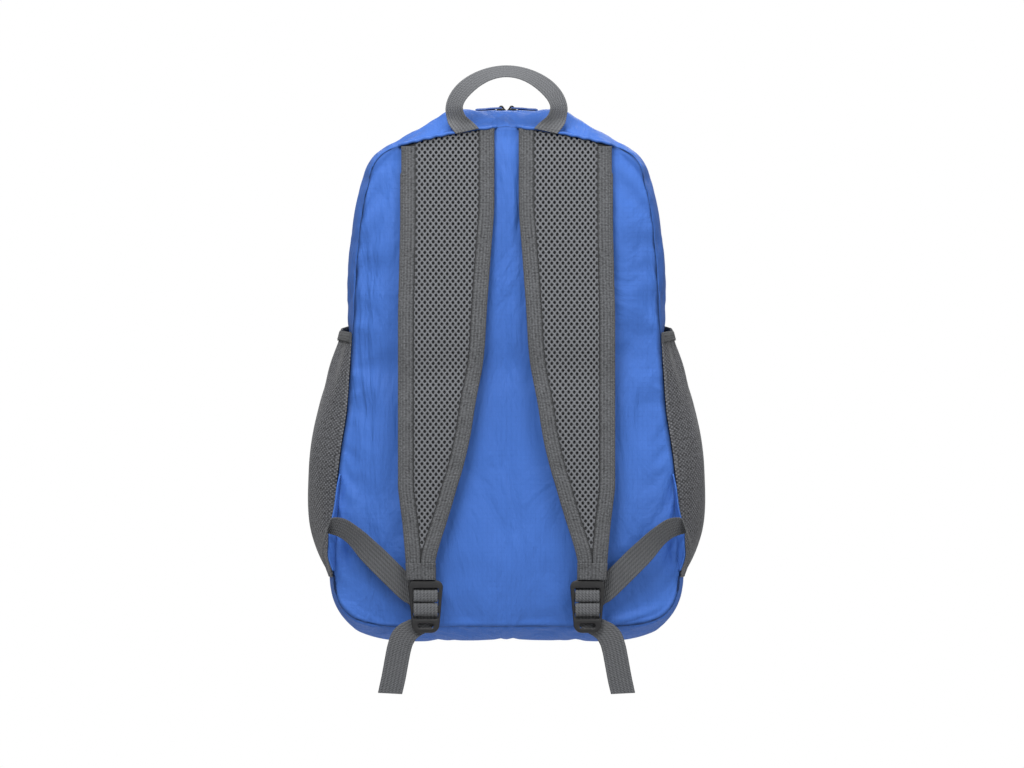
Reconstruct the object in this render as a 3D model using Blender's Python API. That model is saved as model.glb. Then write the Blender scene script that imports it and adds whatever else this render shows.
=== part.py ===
"""Packable backpack, hanging by its grab handle, seen from its harness side.

Units are metres and +Z is up. X runs across the bag, -Y points away from the bag on the
harness side, and the origin is the top of the clear space under the handle's crown, where a
peg or a hook bears. Left and right are named as they are seen from the harness side.
"""
import math
from collections import namedtuple

import bmesh
import bpy
import numpy as np
from mathutils import Vector

MM = 0.001

# Gaps and walls
GAP = 0.4 * MM
CLOTH = 1.5 * MM
WEBBING_WIDTH = 20.0 * MM
WEBBING_THICKNESS = 1.2 * MM

# Bag body
BACK_TOP = -40.8 * MM
BACK_HEIGHT = 412.7 * MM
BACK_HALF_WIDTH = 143.5 * MM
DEPTH = 122.0 * MM
FRONT_DROP = 10.0 * MM
FRONT_RISE = 4.0 * MM
FRONT_WIDTH_SHARE = 0.97
GUSSET_BULGE = 24.0 * MM
BACK_DOME = 8.5 * MM
FRONT_DOME = 28.0 * MM
BACK_DOME_POWERS = (4.0, 5.0)
FRONT_DOME_POWERS = (2.6, 3.2)
PANEL_RINGS = (1.0, 0.94, 0.79, 0.56, 0.28)
HALF_STATIONS = 31
TURN_WEIGHT = 0.45
SEAM_FINE = 600
FOLD_DEPTH = 2.2 * MM

# Zip
ZIP_SLOT = 9.0 * MM
ZIP_PLACE = 0.62
ZIP_END = 0.37
ZIP_END_GAP = 0.003
SLOT_ROW = 3
ZIP_TAPE = 1.0 * MM
ZIP_COIL_WIDTH = 4.0 * MM
ZIP_COIL_HEIGHT = 1.4 * MM
ZIP_COIL_TOP_SHARE = 0.6

# Sliders and pulls
SLIDER_LENGTH = 8.0 * MM
SLIDER_WIDTH = 7.0 * MM
SLIDER_BASE = 2.8 * MM
SLIDER_NOSE = 1.0 * MM
SLIDER_LIFT = 0.6 * MM
BRIDGE_WIDTH = 2.4 * MM
BRIDGE_LENGTH = 5.6 * MM
BRIDGE_WALL = 1.0 * MM
BRIDGE_SINK = 0.5 * MM
PULL_BAR = 1.2 * MM
PULL_PLAY = 0.4 * MM
PULL_WIDTH = 6.0 * MM
PULL_LENGTH = 22.0 * MM
PULL_WINDOW_WIDTH = 3.4 * MM
PULL_WINDOW_LENGTH = 4.4 * MM
PULL_TILT = 2.5

# Side pockets
POCKET_STAND_OFF = 27.0 * MM
POCKET_RIM = 0.411
POCKET_RIM_RISE = 0.018
POCKET_BOTTOM = 0.734
POCKET_BINDING = 8.0 * MM
BINDING_WALL = 2.0 * MM
POCKET_ROUNDNESS = 0.8
POCKET_COLUMNS = 12
POCKET_ROWS = 9
GATHER_DEPTH = 1.6 * MM
GATHER_COUNT = 3.5
GATHER_PLACE = 0.10
GATHER_REACH = 0.12

# Shoulder straps
STRAP_TOP_WIDTH = 78.0 * MM
STRAP_OUTER_X = 89.6 * MM
STRAP_END = -414.8 * MM
STRAP_LOFT = 15.0 * MM
STRAP_TOP_DROP = 1.2 * MM
PAD_THICKNESS = 6.0 * MM
PAD_EDGE_THICKNESS = 2.4 * MM
PAD_RAMP = 5.0 * MM
PAD_RAMP_SLOPE = 0.6
PAD_RIDGE = 0.6 * MM
TAPE_WIDTH = 12.5 * MM
TAPE_WALL = 1.0 * MM
STRAP_STATIONS = 22

# Ladder-lock buckles
BUCKLE_SHIFT = 3.7 * MM
BUCKLE_WIDTH = 28.5 * MM
BUCKLE_END_WIDTH = 23.0 * MM
BUCKLE_HEIGHT = 43.4 * MM
BUCKLE_THICKNESS = 3.6 * MM
BUCKLE_TOP_CORNER = 5.5 * MM
BUCKLE_END_CORNER = 7.0 * MM
BUCKLE_WINDOW_CORNER = 1.0 * MM
BUCKLE_EDGE = 0.5 * MM
BUCKLE_TOP_BAR = 6.5 * MM
LOOP_BAR_DROP = 13.0 * MM
LOOP_BAR = 5.0 * MM
WEB_BAR_DROP = 24.0 * MM
WEB_BAR = 5.2 * MM
BUCKLE_PLATE_DROP = 32.0 * MM
BUCKLE_SLOT_WIDTH = 13.0 * MM
BUCKLE_SLOT_HEIGHT = 4.0 * MM
BUCKLE_SLOT_DROP = 37.5 * MM
LOOP_STATIONS = 32

# Adjusting webbing
WEB_STATIONS = 77
WEBBING_SEAM_DOWN = 0.899
WEBBING_SEAM_OUT = 2.7 * MM
TAIL_REACH_X = 29.4 * MM
TAIL_REACH_Z = 69.4 * MM

# Wings at the side seams
WING_TOP = 0.695
WING_BOTTOM = 0.888
WING_OUT = 16.0 * MM
WING_WALL = 1.6 * MM
WING_INSET = 1.5 * MM
WING_CURL = 1.5
WING_ROWS_DOWN = 11
WING_COLUMNS = 4

# Grab handle
HANDLE_BASE_X = 33.0 * MM
HANDLE_SPAN = 43.4 * MM
HANDLE_RISE = 48.6 * MM
HANDLE_STATIONS = 41

# Colours as red, green, blue
BLUE = (0.060, 0.165, 0.560)
WEB_GRAY = (0.130, 0.132, 0.135)
MESH_GRAY = (0.170, 0.172, 0.175)
POCKET_GRAY = (0.085, 0.087, 0.090)
BLACK = (0.022, 0.022, 0.024)

Seam = namedtuple("Seam", "across down")
Depth = namedtuple("Depth", "down depth")
Bulge = namedtuple("Bulge", "along bulge")
Swell = namedtuple("Swell", "down swell")
Strap = namedtuple("Strap", "down outer width")
Loft = namedtuple("Loft", "down loft thickness")
Fold = namedtuple("Fold", "across down length width angle depth")
Wing = namedtuple("Wing", "down out lean")
Arch = namedtuple("Arch", "across up back turn lean")
Loop = namedtuple("Loop", "back up")
Route = namedtuple("Route", "across back up turn lean width")
Outline = namedtuple("Outline", "along half")

# The back seam from its top centre round to its bottom centre, as shares of the half width
# and of the height
SEAM_ROWS = [
    Seam(0.000, 0.000), Seam(0.209, 0.007), Seam(0.418, 0.021), Seam(0.606, 0.037),
    Seam(0.704, 0.051), Seam(0.763, 0.073), Seam(0.794, 0.107), Seam(0.819, 0.146),
    Seam(0.857, 0.248), Seam(0.882, 0.386), Seam(0.899, 0.483), Seam(0.916, 0.567),
    Seam(0.951, 0.647), Seam(0.976, 0.725), Seam(0.993, 0.822), Seam(1.000, 0.883),
    Seam(0.986, 0.931), Seam(0.948, 0.963), Seam(0.878, 0.984), Seam(0.753, 0.997),
    Seam(0.418, 1.000), Seam(0.000, 1.000),
]

# Depth of the bag down its height, as a share of its greatest depth
DEPTH_ROWS = [
    Depth(0.00, 0.61), Depth(0.15, 0.76), Depth(0.38, 0.92), Depth(0.62, 1.00),
    Depth(0.88, 1.00), Depth(1.00, 0.92),
]

# Bulge of the gusset from the top centre along the seam to the bottom centre
BULGE_ROWS = [
    Bulge(0.000, 0.79), Bulge(0.032, 0.85), Bulge(0.060, 0.97), Bulge(0.071, 0.98),
    Bulge(0.090, 0.80), Bulge(0.117, 0.58), Bulge(0.144, 0.40), Bulge(0.167, 0.30),
    Bulge(0.200, 0.25), Bulge(0.302, 0.30), Bulge(0.388, 0.30), Bulge(0.416, 0.16),
    Bulge(0.460, 0.12), Bulge(0.680, 0.14), Bulge(0.730, 0.22), Bulge(0.780, 0.30),
    Bulge(0.815, 0.42), Bulge(0.870, 0.53), Bulge(1.000, 0.58),
]

# Stand-off of a side pocket from the seam line, down from its rim to its bottom
SWELL_ROWS = [
    Swell(0.00, 0.40), Swell(0.05, 0.44), Swell(0.10, 0.55), Swell(0.16, 0.69),
    Swell(0.23, 0.82), Swell(0.31, 0.94), Swell(0.51, 1.00), Swell(0.62, 0.97),
    Swell(0.73, 0.90), Swell(0.82, 0.77), Swell(0.90, 0.56), Swell(0.97, 0.28),
    Swell(1.00, 0.12),
]

# A shoulder strap down its length: its outer edge and its width
STRAP_ROWS = [
    Strap(0.000, 0.981, 1.000), Strap(0.161, 0.981, 1.000), Strap(0.273, 0.989, 0.974),
    Strap(0.405, 1.000, 0.942), Strap(0.516, 1.000, 0.904), Strap(0.604, 1.000, 0.826),
    Strap(0.693, 1.000, 0.756), Strap(0.781, 1.000, 0.646), Strap(0.825, 0.982, 0.564),
    Strap(0.870, 0.960, 0.474), Strap(0.913, 0.944, 0.390), Strap(0.958, 0.929, 0.320),
    Strap(1.000, 0.916, 0.300),
]

# How far a strap stands off the back panel, and how full its pad is
LOFT_ROWS = [
    Loft(0.00, 0.00, 0.42), Loft(0.05, 0.03, 0.80), Loft(0.12, 0.12, 1.00),
    Loft(0.25, 0.42, 1.00), Loft(0.50, 0.88, 1.00), Loft(0.70, 1.00, 1.00),
    Loft(0.86, 1.00, 0.85), Loft(1.00, 0.93, 0.45),
]

# Folds of the back panel: the crease across it, and the slack that runs down it
BACK_FOLDS = [
    Fold(0.00, 0.485, 0.95, 0.040, 0.0, 1.00), Fold(0.00, 0.860, 0.60, 0.030, 0.0, -0.60),
    Fold(-0.04, 0.600, 0.060, 0.500, 0.0, 0.70), Fold(0.78, 0.400, 0.050, 0.400, 6.0, 0.70),
    Fold(-0.76, 0.420, 0.050, 0.400, -6.0, 0.70), Fold(0.55, 0.930, 0.450, 0.030, 8.0, 0.80),
    Fold(-0.55, 0.930, 0.450, 0.030, -8.0, 0.80),
]

# Folds of the front panel, plain slack of a filled bag
FRONT_FOLDS = [
    Fold(0.00, 0.300, 0.90, 0.060, 0.0, 1.20), Fold(0.30, 0.620, 0.080, 0.350, 10.0, 1.00),
    Fold(-0.34, 0.560, 0.080, 0.350, -8.0, 1.00), Fold(0.00, 0.840, 0.80, 0.050, 0.0, 1.10),
]

# A pull tab from its bar to its tip, as shares of its length and of its half width
PULL_ROWS = [
    Outline(0.00, 1.00), Outline(0.45, 1.00), Outline(0.62, 0.72), Outline(0.92, 0.72),
    Outline(1.00, 0.30),
]

# A wing down its seam: how far it stands out, and how far it leans outwards
WING_ROWS = [
    Wing(0.00, 0.10, 0.00), Wing(0.20, 0.26, 0.10), Wing(0.40, 0.38, 0.20),
    Wing(0.55, 0.48, 0.30), Wing(0.70, 0.70, 0.36), Wing(0.85, 0.95, 0.34),
    Wing(1.00, 0.92, 0.05),
]

# The grab handle from its base to its crown
HANDLE_ROWS = [
    Arch(0.760, 0.000, -1.9, 10.0, 2.0), Arch(0.850, 0.070, -2.8, 9.0, 12.0),
    Arch(0.950, 0.190, -4.2, 6.0, 36.0), Arch(0.995, 0.360, -4.6, -2.0, 44.0),
    Arch(0.945, 0.520, -3.2, -22.0, 46.0), Arch(0.800, 0.690, -2.2, -42.0, 47.0),
    Arch(0.560, 0.850, -1.2, -60.0, 53.0), Arch(0.280, 0.955, -0.4, -76.0, 59.0),
    Arch(0.000, 0.990, 0.0, -90.0, 61.0),
]

# The fixed loop in the buckle, from behind the pad round the loop bar and back, in
# multiples of a millimetre from the bar's centre
LOOP_ROWS = [
    Loop(4.3, 24.0), Loop(3.9, 15.0), Loop(3.5, 10.0), Loop(3.1, 7.2), Loop(2.2, 5.0),
    Loop(0.2, 4.4), Loop(-2.4, 3.8), Loop(-3.2, 1.8), Loop(-3.2, -0.9), Loop(-2.5, -3.5),
    Loop(-0.2, -4.5), Loop(2.1, -3.9), Loop(3.2, -1.6), Loop(3.5, 1.4), Loop(4.6, 4.8),
    Loop(5.5, 8.0), Loop(5.9, 13.0), Loop(6.3, 24.0),
]

# The webbing round the web bar, in the same way
WEB_BAR_ROWS = [
    Loop(9.2, -4.5), Loop(8.9, -8.6), Loop(7.2, -10.6), Loop(5.6, -8.8), Loop(5.3, -5.0),
    Loop(4.9, -0.8), Loop(3.7, 3.0), Loop(1.6, 4.4), Loop(-0.4, 4.7), Loop(-2.6, 4.1),
    Loop(-3.5, 1.9), Loop(-3.5, -0.6), Loop(-3.0, -3.2), Loop(-1.0, -4.8), Loop(1.2, -5.2),
    Loop(2.7, -6.4), Loop(3.2, -9.2),
]

# The webbing from the wing to the back of the buckle. Across and up are shares of the way
# from the side seam to the web bar, back is a share of the buckle's stand-out
INCOMING_ROWS = [
    Route(0.000, 0.61, 0.000, 0.0, 90.0, 1.0), Route(-0.052, 0.63, 0.440, 0.0, 90.0, 1.0),
    Route(-0.070, 0.67, 0.800, 0.0, 88.0, 1.0), Route(-0.052, 0.80, 1.160, 60.0, 74.0, 1.0),
    Route(0.005, 0.99, 1.530, 68.0, 46.0, 1.0), Route(0.125, 1.09, 1.460, 67.0, 38.0, 1.0),
    Route(0.257, 1.11, 1.206, 52.0, 36.0, 1.0), Route(0.397, 1.07, 0.790, 50.0, 18.0, 1.0),
    Route(0.513, 0.99, 0.460, 49.5, 4.0, 1.0), Route(0.616, 0.90, 0.160, 49.5, 0.0, 1.0),
    Route(0.700, 0.79, -0.080, 49.0, 0.0, 1.0), Route(0.785, 0.68, -0.320, 47.0, 0.0, 1.0),
    Route(0.870, 0.61, -0.540, 36.0, 0.0, 1.0), Route(0.945, 0.59, -0.740, 18.0, 0.0, 1.0),
]

# The free tail below the web bar. Across and up are shares of the tail's reach, back is in
# millimetres behind the buckle's middle
TAIL_ROWS = [
    Route(0.090, 3.3, 0.165, -24.0, 0.0, 0.86), Route(0.290, 3.6, 0.212, -42.0, 0.0, 0.86),
    Route(0.500, 4.0, 0.265, -40.0, 0.0, 0.92), Route(0.650, 4.5, 0.345, -27.0, 0.0, 1.0),
    Route(0.745, 5.2, 0.465, -15.0, 0.0, 1.0), Route(0.805, 5.9, 0.590, -11.0, 0.0, 1.0),
    Route(0.905, 6.8, 0.820, -10.0, 0.0, 1.0), Route(1.000, 7.6, 1.000, -3.0, 0.0, 1.0),
]

def clear_scene():
    """Remove every object of the scene."""
    for old in list(bpy.data.objects):
        bpy.data.objects.remove(old, do_unlink=True)


def material(name, colour, roughness, metallic=0.0):
    """A Principled material of one colour."""
    made = bpy.data.materials.new(name)
    made.use_nodes = True
    shader = made.node_tree.nodes["Principled BSDF"]
    shader.inputs["Base Color"].default_value = (*colour, 1.0)
    shader.inputs["Roughness"].default_value = roughness
    shader.inputs["Metallic"].default_value = metallic
    made.diffuse_color = (*colour, 1.0)
    return made


def add_object(name, mesh, look, sharp_degrees=40.0):
    """Link a mesh as a named object with its own material, shaded smooth."""
    colour, roughness = look
    mesh.materials.append(material(name, colour, roughness))
    mesh.shade_smooth()
    mesh.set_sharp_from_angle(angle=math.radians(sharp_degrees))
    made = bpy.data.objects.new(name, mesh)
    bpy.context.collection.objects.link(made)
    return made


def mesh_from(name, points, faces):
    """A mesh whose faces all point outwards."""
    mesh = bpy.data.meshes.new(name)
    mesh.from_pydata([tuple(point) for point in points], [], faces)
    work = bmesh.new()
    work.from_mesh(mesh)
    bmesh.ops.recalc_face_normals(work, faces=work.faces)
    work.to_mesh(mesh)
    work.free()
    return mesh


def column(rows, name):
    """One column of a table as an array."""
    return np.array([getattr(row, name) for row in rows], dtype=float)


def smooth_value(at, places, values):
    """A smooth curve through the values of a table, read at one place or many."""
    at = np.clip(np.asarray(at, dtype=float), places[0], places[-1])
    steps = np.diff(places)
    slopes = np.diff(values) / steps
    tangents = np.concatenate(([slopes[0]], (slopes[:-1] + slopes[1:]) / 2.0, [slopes[-1]]))
    flat = np.concatenate(([False], slopes[:-1] * slopes[1:] <= 0.0, [False]))
    tangents[flat] = 0.0
    cell = np.clip(np.searchsorted(places, at, side="right") - 1, 0, len(steps) - 1)
    step = steps[cell]
    share = (at - places[cell]) / step
    square = share * share
    cube = square * share
    return (
        (2.0 * cube - 3.0 * square + 1.0) * values[cell]
        + (cube - 2.0 * square + share) * step * tangents[cell]
        + (3.0 * square - 2.0 * cube) * values[cell + 1]
        + (cube - square) * step * tangents[cell + 1]
    )


def table_value(rows, place, name, at):
    """Read one column of a table smoothly at a place along another."""
    return smooth_value(at, column(rows, place), column(rows, name))


def even_curve(points, count):
    """Points at even distances on a smooth curve through given points."""
    points = np.asarray(points, dtype=float)
    reach = np.concatenate(([0.0], np.cumsum(np.linalg.norm(np.diff(points[:, :3], axis=0), axis=1))))
    fine = np.linspace(0.0, reach[-1], count * 8)
    dense = np.stack([smooth_value(fine, reach, points[:, axis]) for axis in range(points.shape[1])], axis=1)
    run = np.concatenate(([0.0], np.cumsum(np.linalg.norm(np.diff(dense[:, :3], axis=0), axis=1))))
    even = np.linspace(0.0, run[-1], count)
    return np.stack([np.interp(even, run, dense[:, axis]) for axis in range(points.shape[1])], axis=1)


def seam_curve():
    """The right half of the back seam as evenly spaced x, z points."""
    across = column(SEAM_ROWS, "across") * BACK_HALF_WIDTH
    down = BACK_TOP - column(SEAM_ROWS, "down") * BACK_HEIGHT
    flat = np.zeros(len(across))
    return even_curve(np.stack([across, flat, down], axis=1), SEAM_FINE)[:, [0, 2]]


SEAM = seam_curve()
SEAM_SHARES = np.linspace(0.0, 1.0, SEAM_FINE)
SEAM_WIDEST = int(np.argmax(SEAM[:, 0]))


def seam_at(along):
    """The back seam's x, z at a share of the way from top centre to bottom centre."""
    return np.array([np.interp(along, SEAM_SHARES, SEAM[:, axis]) for axis in (0, 1)])


def seam_out(along):
    """The outward direction of the back seam at a share of its way."""
    reach = 0.012
    before = seam_at(max(along - reach, 0.0))
    after = seam_at(min(along + reach, 1.0))
    run = after - before
    if along in (0.0, 1.0):
        run[1] = 0.0
    out = np.array([-run[1], run[0]])
    return out / np.linalg.norm(out)


def down_share(z):
    """How far down the back a height lies, as a share of its height."""
    return (BACK_TOP - z) / BACK_HEIGHT


def half_width(z):
    """Half width of the back seam at a height."""
    return np.interp(-z, -SEAM[:, 1], SEAM[:, 0])


def top_seam(x):
    """Height of the seam's upper side over a place across."""
    upper = SEAM[: SEAM_WIDEST + 1]
    return np.interp(abs(x), upper[:, 0], upper[:, 1])


def bottom_seam(x):
    """Height of the seam's lower side under a place across."""
    lower = SEAM[SEAM_WIDEST:][::-1]
    return np.interp(abs(x), lower[:, 0], lower[:, 1])


def front_of(point):
    """The front seam's x, y, z that belongs to a point x, z of the back seam."""
    x, z = point
    share = down_share(z)
    depth = DEPTH * table_value(DEPTH_ROWS, "down", "depth", share)
    height = BACK_HEIGHT - FRONT_DROP - FRONT_RISE
    return np.array([x * FRONT_WIDTH_SHARE, depth, BACK_TOP - FRONT_DROP - share * height])


def gusset_point(along, through):
    """The gusset's outer face on the right half, at shares along the seam and through its depth."""
    start = seam_at(along)
    out = seam_out(along)
    back = np.array([start[0], GAP, start[1]])
    front = front_of(start)
    bulge = GUSSET_BULGE * table_value(BULGE_ROWS, "along", "bulge", along)
    lift = bulge * math.sin(math.pi * through)
    return back + (front - back) * through + np.array([out[0] * lift, 0.0, out[1] * lift])


def gusset_normal(along, through):
    """The gusset's outward direction at a point."""
    step = 0.004
    low = max(through - step, 0.0)
    high = min(through + step, 1.0)
    across = gusset_point(along, high) - gusset_point(along, low)
    before = max(along - step, 0.0)
    after = min(along + step, 1.0)
    run = gusset_point(after, through) - gusset_point(before, through)
    normal = np.cross(run, across)
    normal /= np.linalg.norm(normal)
    out = seam_out(along)
    if normal[0] * out[0] + normal[2] * out[1] < 0.0:
        normal = -normal
    return normal


def mirrored(point, side):
    """A point of the right half, or its like on the left."""
    return np.array([point[0] * side, point[1], point[2]])


def fold_depth(folds, x, z):
    """How deep the folds of a panel press it in at a point."""
    across = x / BACK_HALF_WIDTH
    down = down_share(z)
    depth = 0.0
    for fold in folds:
        turn = math.radians(fold.angle)
        along = (across - fold.across) * math.cos(turn) + (down - fold.down) * math.sin(turn)
        over = (down - fold.down) * math.cos(turn) - (across - fold.across) * math.sin(turn)
        depth += fold.depth * math.exp(-((along / fold.length) ** 4) - (over / fold.width) ** 2)
    return FOLD_DEPTH * depth


def dome_share(x, z, side_power, end_power):
    """A dome that is 0 on the seam and 1 in the middle of a panel."""
    middle = BACK_TOP - BACK_HEIGHT / 2.0
    wide = half_width(z)
    across = abs(x) / wide if wide > abs(x) else 1.0
    edge = top_seam(x) if z > middle else bottom_seam(x)
    up = min(abs((z - middle) / (edge - middle)), 1.0) if edge != middle else 1.0
    return (1.0 - across ** side_power) * (1.0 - up ** end_power)


def back_depth(x, z):
    """How far the back panel's outer face stands out from the seam plane."""
    share = dome_share(x, z, *BACK_DOME_POWERS)
    return CLOTH + share * (BACK_DOME - fold_depth(BACK_FOLDS, x, z))


def strap_edges(side, share):
    """Outer and inner edge points x, z of a strap at a share of its length."""
    outer = STRAP_OUTER_X * table_value(STRAP_ROWS, "down", "outer", share)
    inner = outer - STRAP_TOP_WIDTH * table_value(STRAP_ROWS, "down", "width", share)
    edges = []
    for x in (outer, inner):
        start = top_seam(x) - STRAP_TOP_DROP
        edges.append((side * x, start + (STRAP_END - start) * share))
    return edges


def tape_half_thickness():
    """Half the thickness over a strap's binding tape."""
    return PAD_EDGE_THICKNESS / 2.0 + GAP + TAPE_WALL


def strap_depth(side, share):
    """How far a strap's middle plane stands out from the seam plane."""
    (outer_x, outer_z), (inner_x, inner_z) = strap_edges(side, share)
    places = np.linspace(0.0, 1.0, 7)
    deepest = max(
        back_depth(outer_x + (inner_x - outer_x) * place, outer_z + (inner_z - outer_z) * place)
        for place in places
    )
    pad = PAD_THICKNESS * table_value(LOFT_ROWS, "down", "thickness", share) / 2.0
    thick = max(pad, tape_half_thickness())
    stand_off = STRAP_LOFT * table_value(LOFT_ROWS, "down", "loft", share)
    return deepest + GAP + thick + stand_off


def ring_mesh(name, rings, closed_ends=True):
    """A closed solid through rings of points, with its two ends filled."""
    count = len(rings[0])
    points = [point for ring in rings for point in ring]
    faces = []
    for row in range(len(rings) - 1):
        for place in range(count):
            after = (place + 1) % count
            faces.append((
                row * count + place, row * count + after,
                (row + 1) * count + after, (row + 1) * count + place,
            ))
    if closed_ends:
        faces.append(tuple(range(count)))
        faces.append(tuple(range((len(rings) - 1) * count, len(rings) * count)))
    return mesh_from(name, points, faces)


def grid_mesh(name, grid, closed=False, left_out=()):
    """An open sheet through a grid of points, closed on itself if asked."""
    rows = len(grid)
    columns = len(grid[0])
    points = [point for row in grid for point in row]
    faces = []
    for row in range(rows if closed else rows - 1):
        after = (row + 1) % rows
        for place in range(columns - 1):
            if (row, place) in left_out:
                continue
            faces.append((
                row * columns + place, row * columns + place + 1,
                after * columns + place + 1, after * columns + place,
            ))
    mesh = bpy.data.meshes.new(name)
    mesh.from_pydata([tuple(point) for point in points], [], faces)
    return mesh


def thicken(made, wall, offset):
    """Give a sheet its wall."""
    solid = made.modifiers.new("Wall", "SOLIDIFY")
    solid.thickness = wall
    solid.offset = offset
    solid.use_even_offset = False
    return made


def strip(name, rows, look, width=WEBBING_WIDTH, wall=WEBBING_THICKNESS, count=30):
    """A flat band along rows of x, y, z, the three parts of its width direction, and width share."""
    path = even_curve(rows, count)
    centres = path[:, :3]
    tangents = np.gradient(centres, axis=0)
    rings = []
    for centre, tangent, row in zip(centres, tangents, path):
        along = Vector(tangent).normalized()
        over = Vector(row[3:6]).normalized()
        up = along.cross(over).normalized()
        side = over * (width / 2.0 * row[6])
        half = up * (wall / 2.0)
        middle = Vector(centre)
        rings.append([middle - side - half, middle + side - half, middle + side + half, middle - side + half])
    return add_object(name, ring_mesh(name, rings), look)


def direction(turn, lean):
    """The width direction of a band: turned in the view's plane, then leant towards the viewer."""
    turn = math.radians(turn)
    lean = math.radians(lean)
    return [math.cos(turn) * math.cos(lean), -math.sin(lean), math.sin(turn) * math.cos(lean)]


def station_shares():
    """Shares of the stations along the seam, closer together where it turns."""
    runs = np.diff(SEAM, axis=0)
    headings = np.unwrap(np.arctan2(runs[:, 1], runs[:, 0]))
    turned = np.concatenate(([0.0, 0.0], np.cumsum(np.abs(np.diff(headings))))) / math.pi
    weight = SEAM_SHARES + TURN_WEIGHT * turned
    return np.interp(np.linspace(0.0, weight[-1], HALF_STATIONS + 1), weight, SEAM_SHARES)


STATIONS = station_shares()
ZIP_LAST = int(np.argmin(np.abs(STATIONS - ZIP_END)))


def full_ring():
    """Shares and sides of every station round the bag, from the top centre clockwise."""
    right = [(share, 1.0) for share in STATIONS]
    left = [(share, -1.0) for share in STATIONS[-2:0:-1]]
    return right + left


def slot_throughs(along):
    """The shares through the depth at which the gusset has its rows of points."""
    depth = front_of(seam_at(along))[1]
    half = ZIP_SLOT / 2.0 / depth
    low = ZIP_PLACE - half
    high = ZIP_PLACE + half
    return [0.0, low / 3.0, low * 2.0 / 3.0, low, high, (high + 1.0) / 2.0, 1.0]


def make_gusset():
    """The band of cloth round the bag, open along the zip."""
    stations = full_ring()
    grid = []
    for along, side in stations:
        grid.append([mirrored(gusset_point(along, through), side) for through in slot_throughs(along)])
    total = len(stations)
    slot = {(place, SLOT_ROW) for place in range(ZIP_LAST)}
    slot |= {(total - 1 - place, SLOT_ROW) for place in range(ZIP_LAST)}
    mesh = grid_mesh("gusset", grid, closed=True, left_out=slot)
    made = add_object("gusset", mesh, (BLUE, 0.55))
    thicken(made, CLOTH, 1.0)
    return made


def zip_line(along, across):
    """A point of the zip's outer face on the right half, across from its middle line in metres."""
    depth = front_of(seam_at(along))[1]
    return gusset_point(along, ZIP_PLACE + across / depth)


def zip_share_at(x):
    """The share along the seam at which the zip's middle line lies x across."""
    shares = np.linspace(0.0, 0.1, 60)
    return float(np.interp(x, [zip_line(share, 0.0)[0] for share in shares], shares))


def make_zip_tape():
    """The tape that fills the slot of the gusset."""
    shares = list(STATIONS[:ZIP_LAST]) + [STATIONS[ZIP_LAST] - ZIP_END_GAP]
    stations = [(share, -1.0) for share in shares[:0:-1]] + [(share, 1.0) for share in shares]
    edge = ZIP_SLOT / 2.0 - GAP
    grid = []
    for along, side in stations:
        grid.append([mirrored(zip_line(along, place), side) for place in (-edge, 0.0, edge)])
    made = add_object("zip_tape", grid_mesh("zip_tape", grid), (BLUE, 0.6))
    return thicken(made, ZIP_TAPE, 1.0)


def zip_frame(side):
    """Centre, run, across and up directions of the zip under a slider."""
    along = zip_share_at(GAP + SLIDER_LENGTH / 2.0)
    centre = zip_line(along, 0.0)
    across = Vector(zip_line(along, ZIP_SLOT / 4.0) - zip_line(along, -ZIP_SLOT / 4.0))
    across.x = 0.0
    across.normalize()
    run = Vector((1.0, 0.0, 0.0))
    up = run.cross(across).normalized()
    centre = Vector(mirrored(centre, side))
    return centre, run * side, across, up


def make_zip_coils():
    """The closed teeth from each slider down to the zip's end."""
    start = zip_share_at(GAP * 2.0 + SLIDER_LENGTH)
    last = STATIONS[ZIP_LAST] - 2.0 * ZIP_END_GAP
    shares = [start] + [share for share in STATIONS if start < share < last] + [last]
    half = ZIP_COIL_WIDTH / 2.0
    for name, side in (("left_zip_coil", -1.0), ("right_zip_coil", 1.0)):
        rings = []
        for along in shares:
            base = zip_line(along, 0.0)
            normal = gusset_normal(along, ZIP_PLACE)
            over = zip_line(along, half) - zip_line(along, -half)
            over /= np.linalg.norm(over)
            low = base + normal * GAP
            high = base + normal * (GAP + ZIP_COIL_HEIGHT)
            top = half * ZIP_COIL_TOP_SHARE
            ring = [low - over * half, low + over * half, high + over * top, high - over * top]
            rings.append([mirrored(point, side) for point in ring])
        add_object(name, ring_mesh(name, rings), (BLACK, 0.45))


def prism(name, outline, frame, low, high):
    """A solid whose outline, given along and up, is drawn out across between two places."""
    centre, run, across, up = frame
    rings = []
    for place in (low, high):
        rings.append([centre + run * x + up * z + across * place for x, z in outline])
    return ring_mesh(name, rings)


def hide_tool(tool):
    """Keep a cutting or joining shape out of the model."""
    tool.hide_render = True
    tool.display_type = "WIRE"
    return tool


def add_tool(name, mesh):
    """A hidden shape for a Boolean."""
    made = bpy.data.objects.new(name, mesh)
    bpy.context.collection.objects.link(made)
    return hide_tool(made)


def combine(target, tool, operation):
    """Join or cut a piece with a hidden shape."""
    change = target.modifiers.new(tool.name, "BOOLEAN")
    change.operation = operation
    change.solver = "EXACT"
    change.object = tool
    return change


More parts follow.
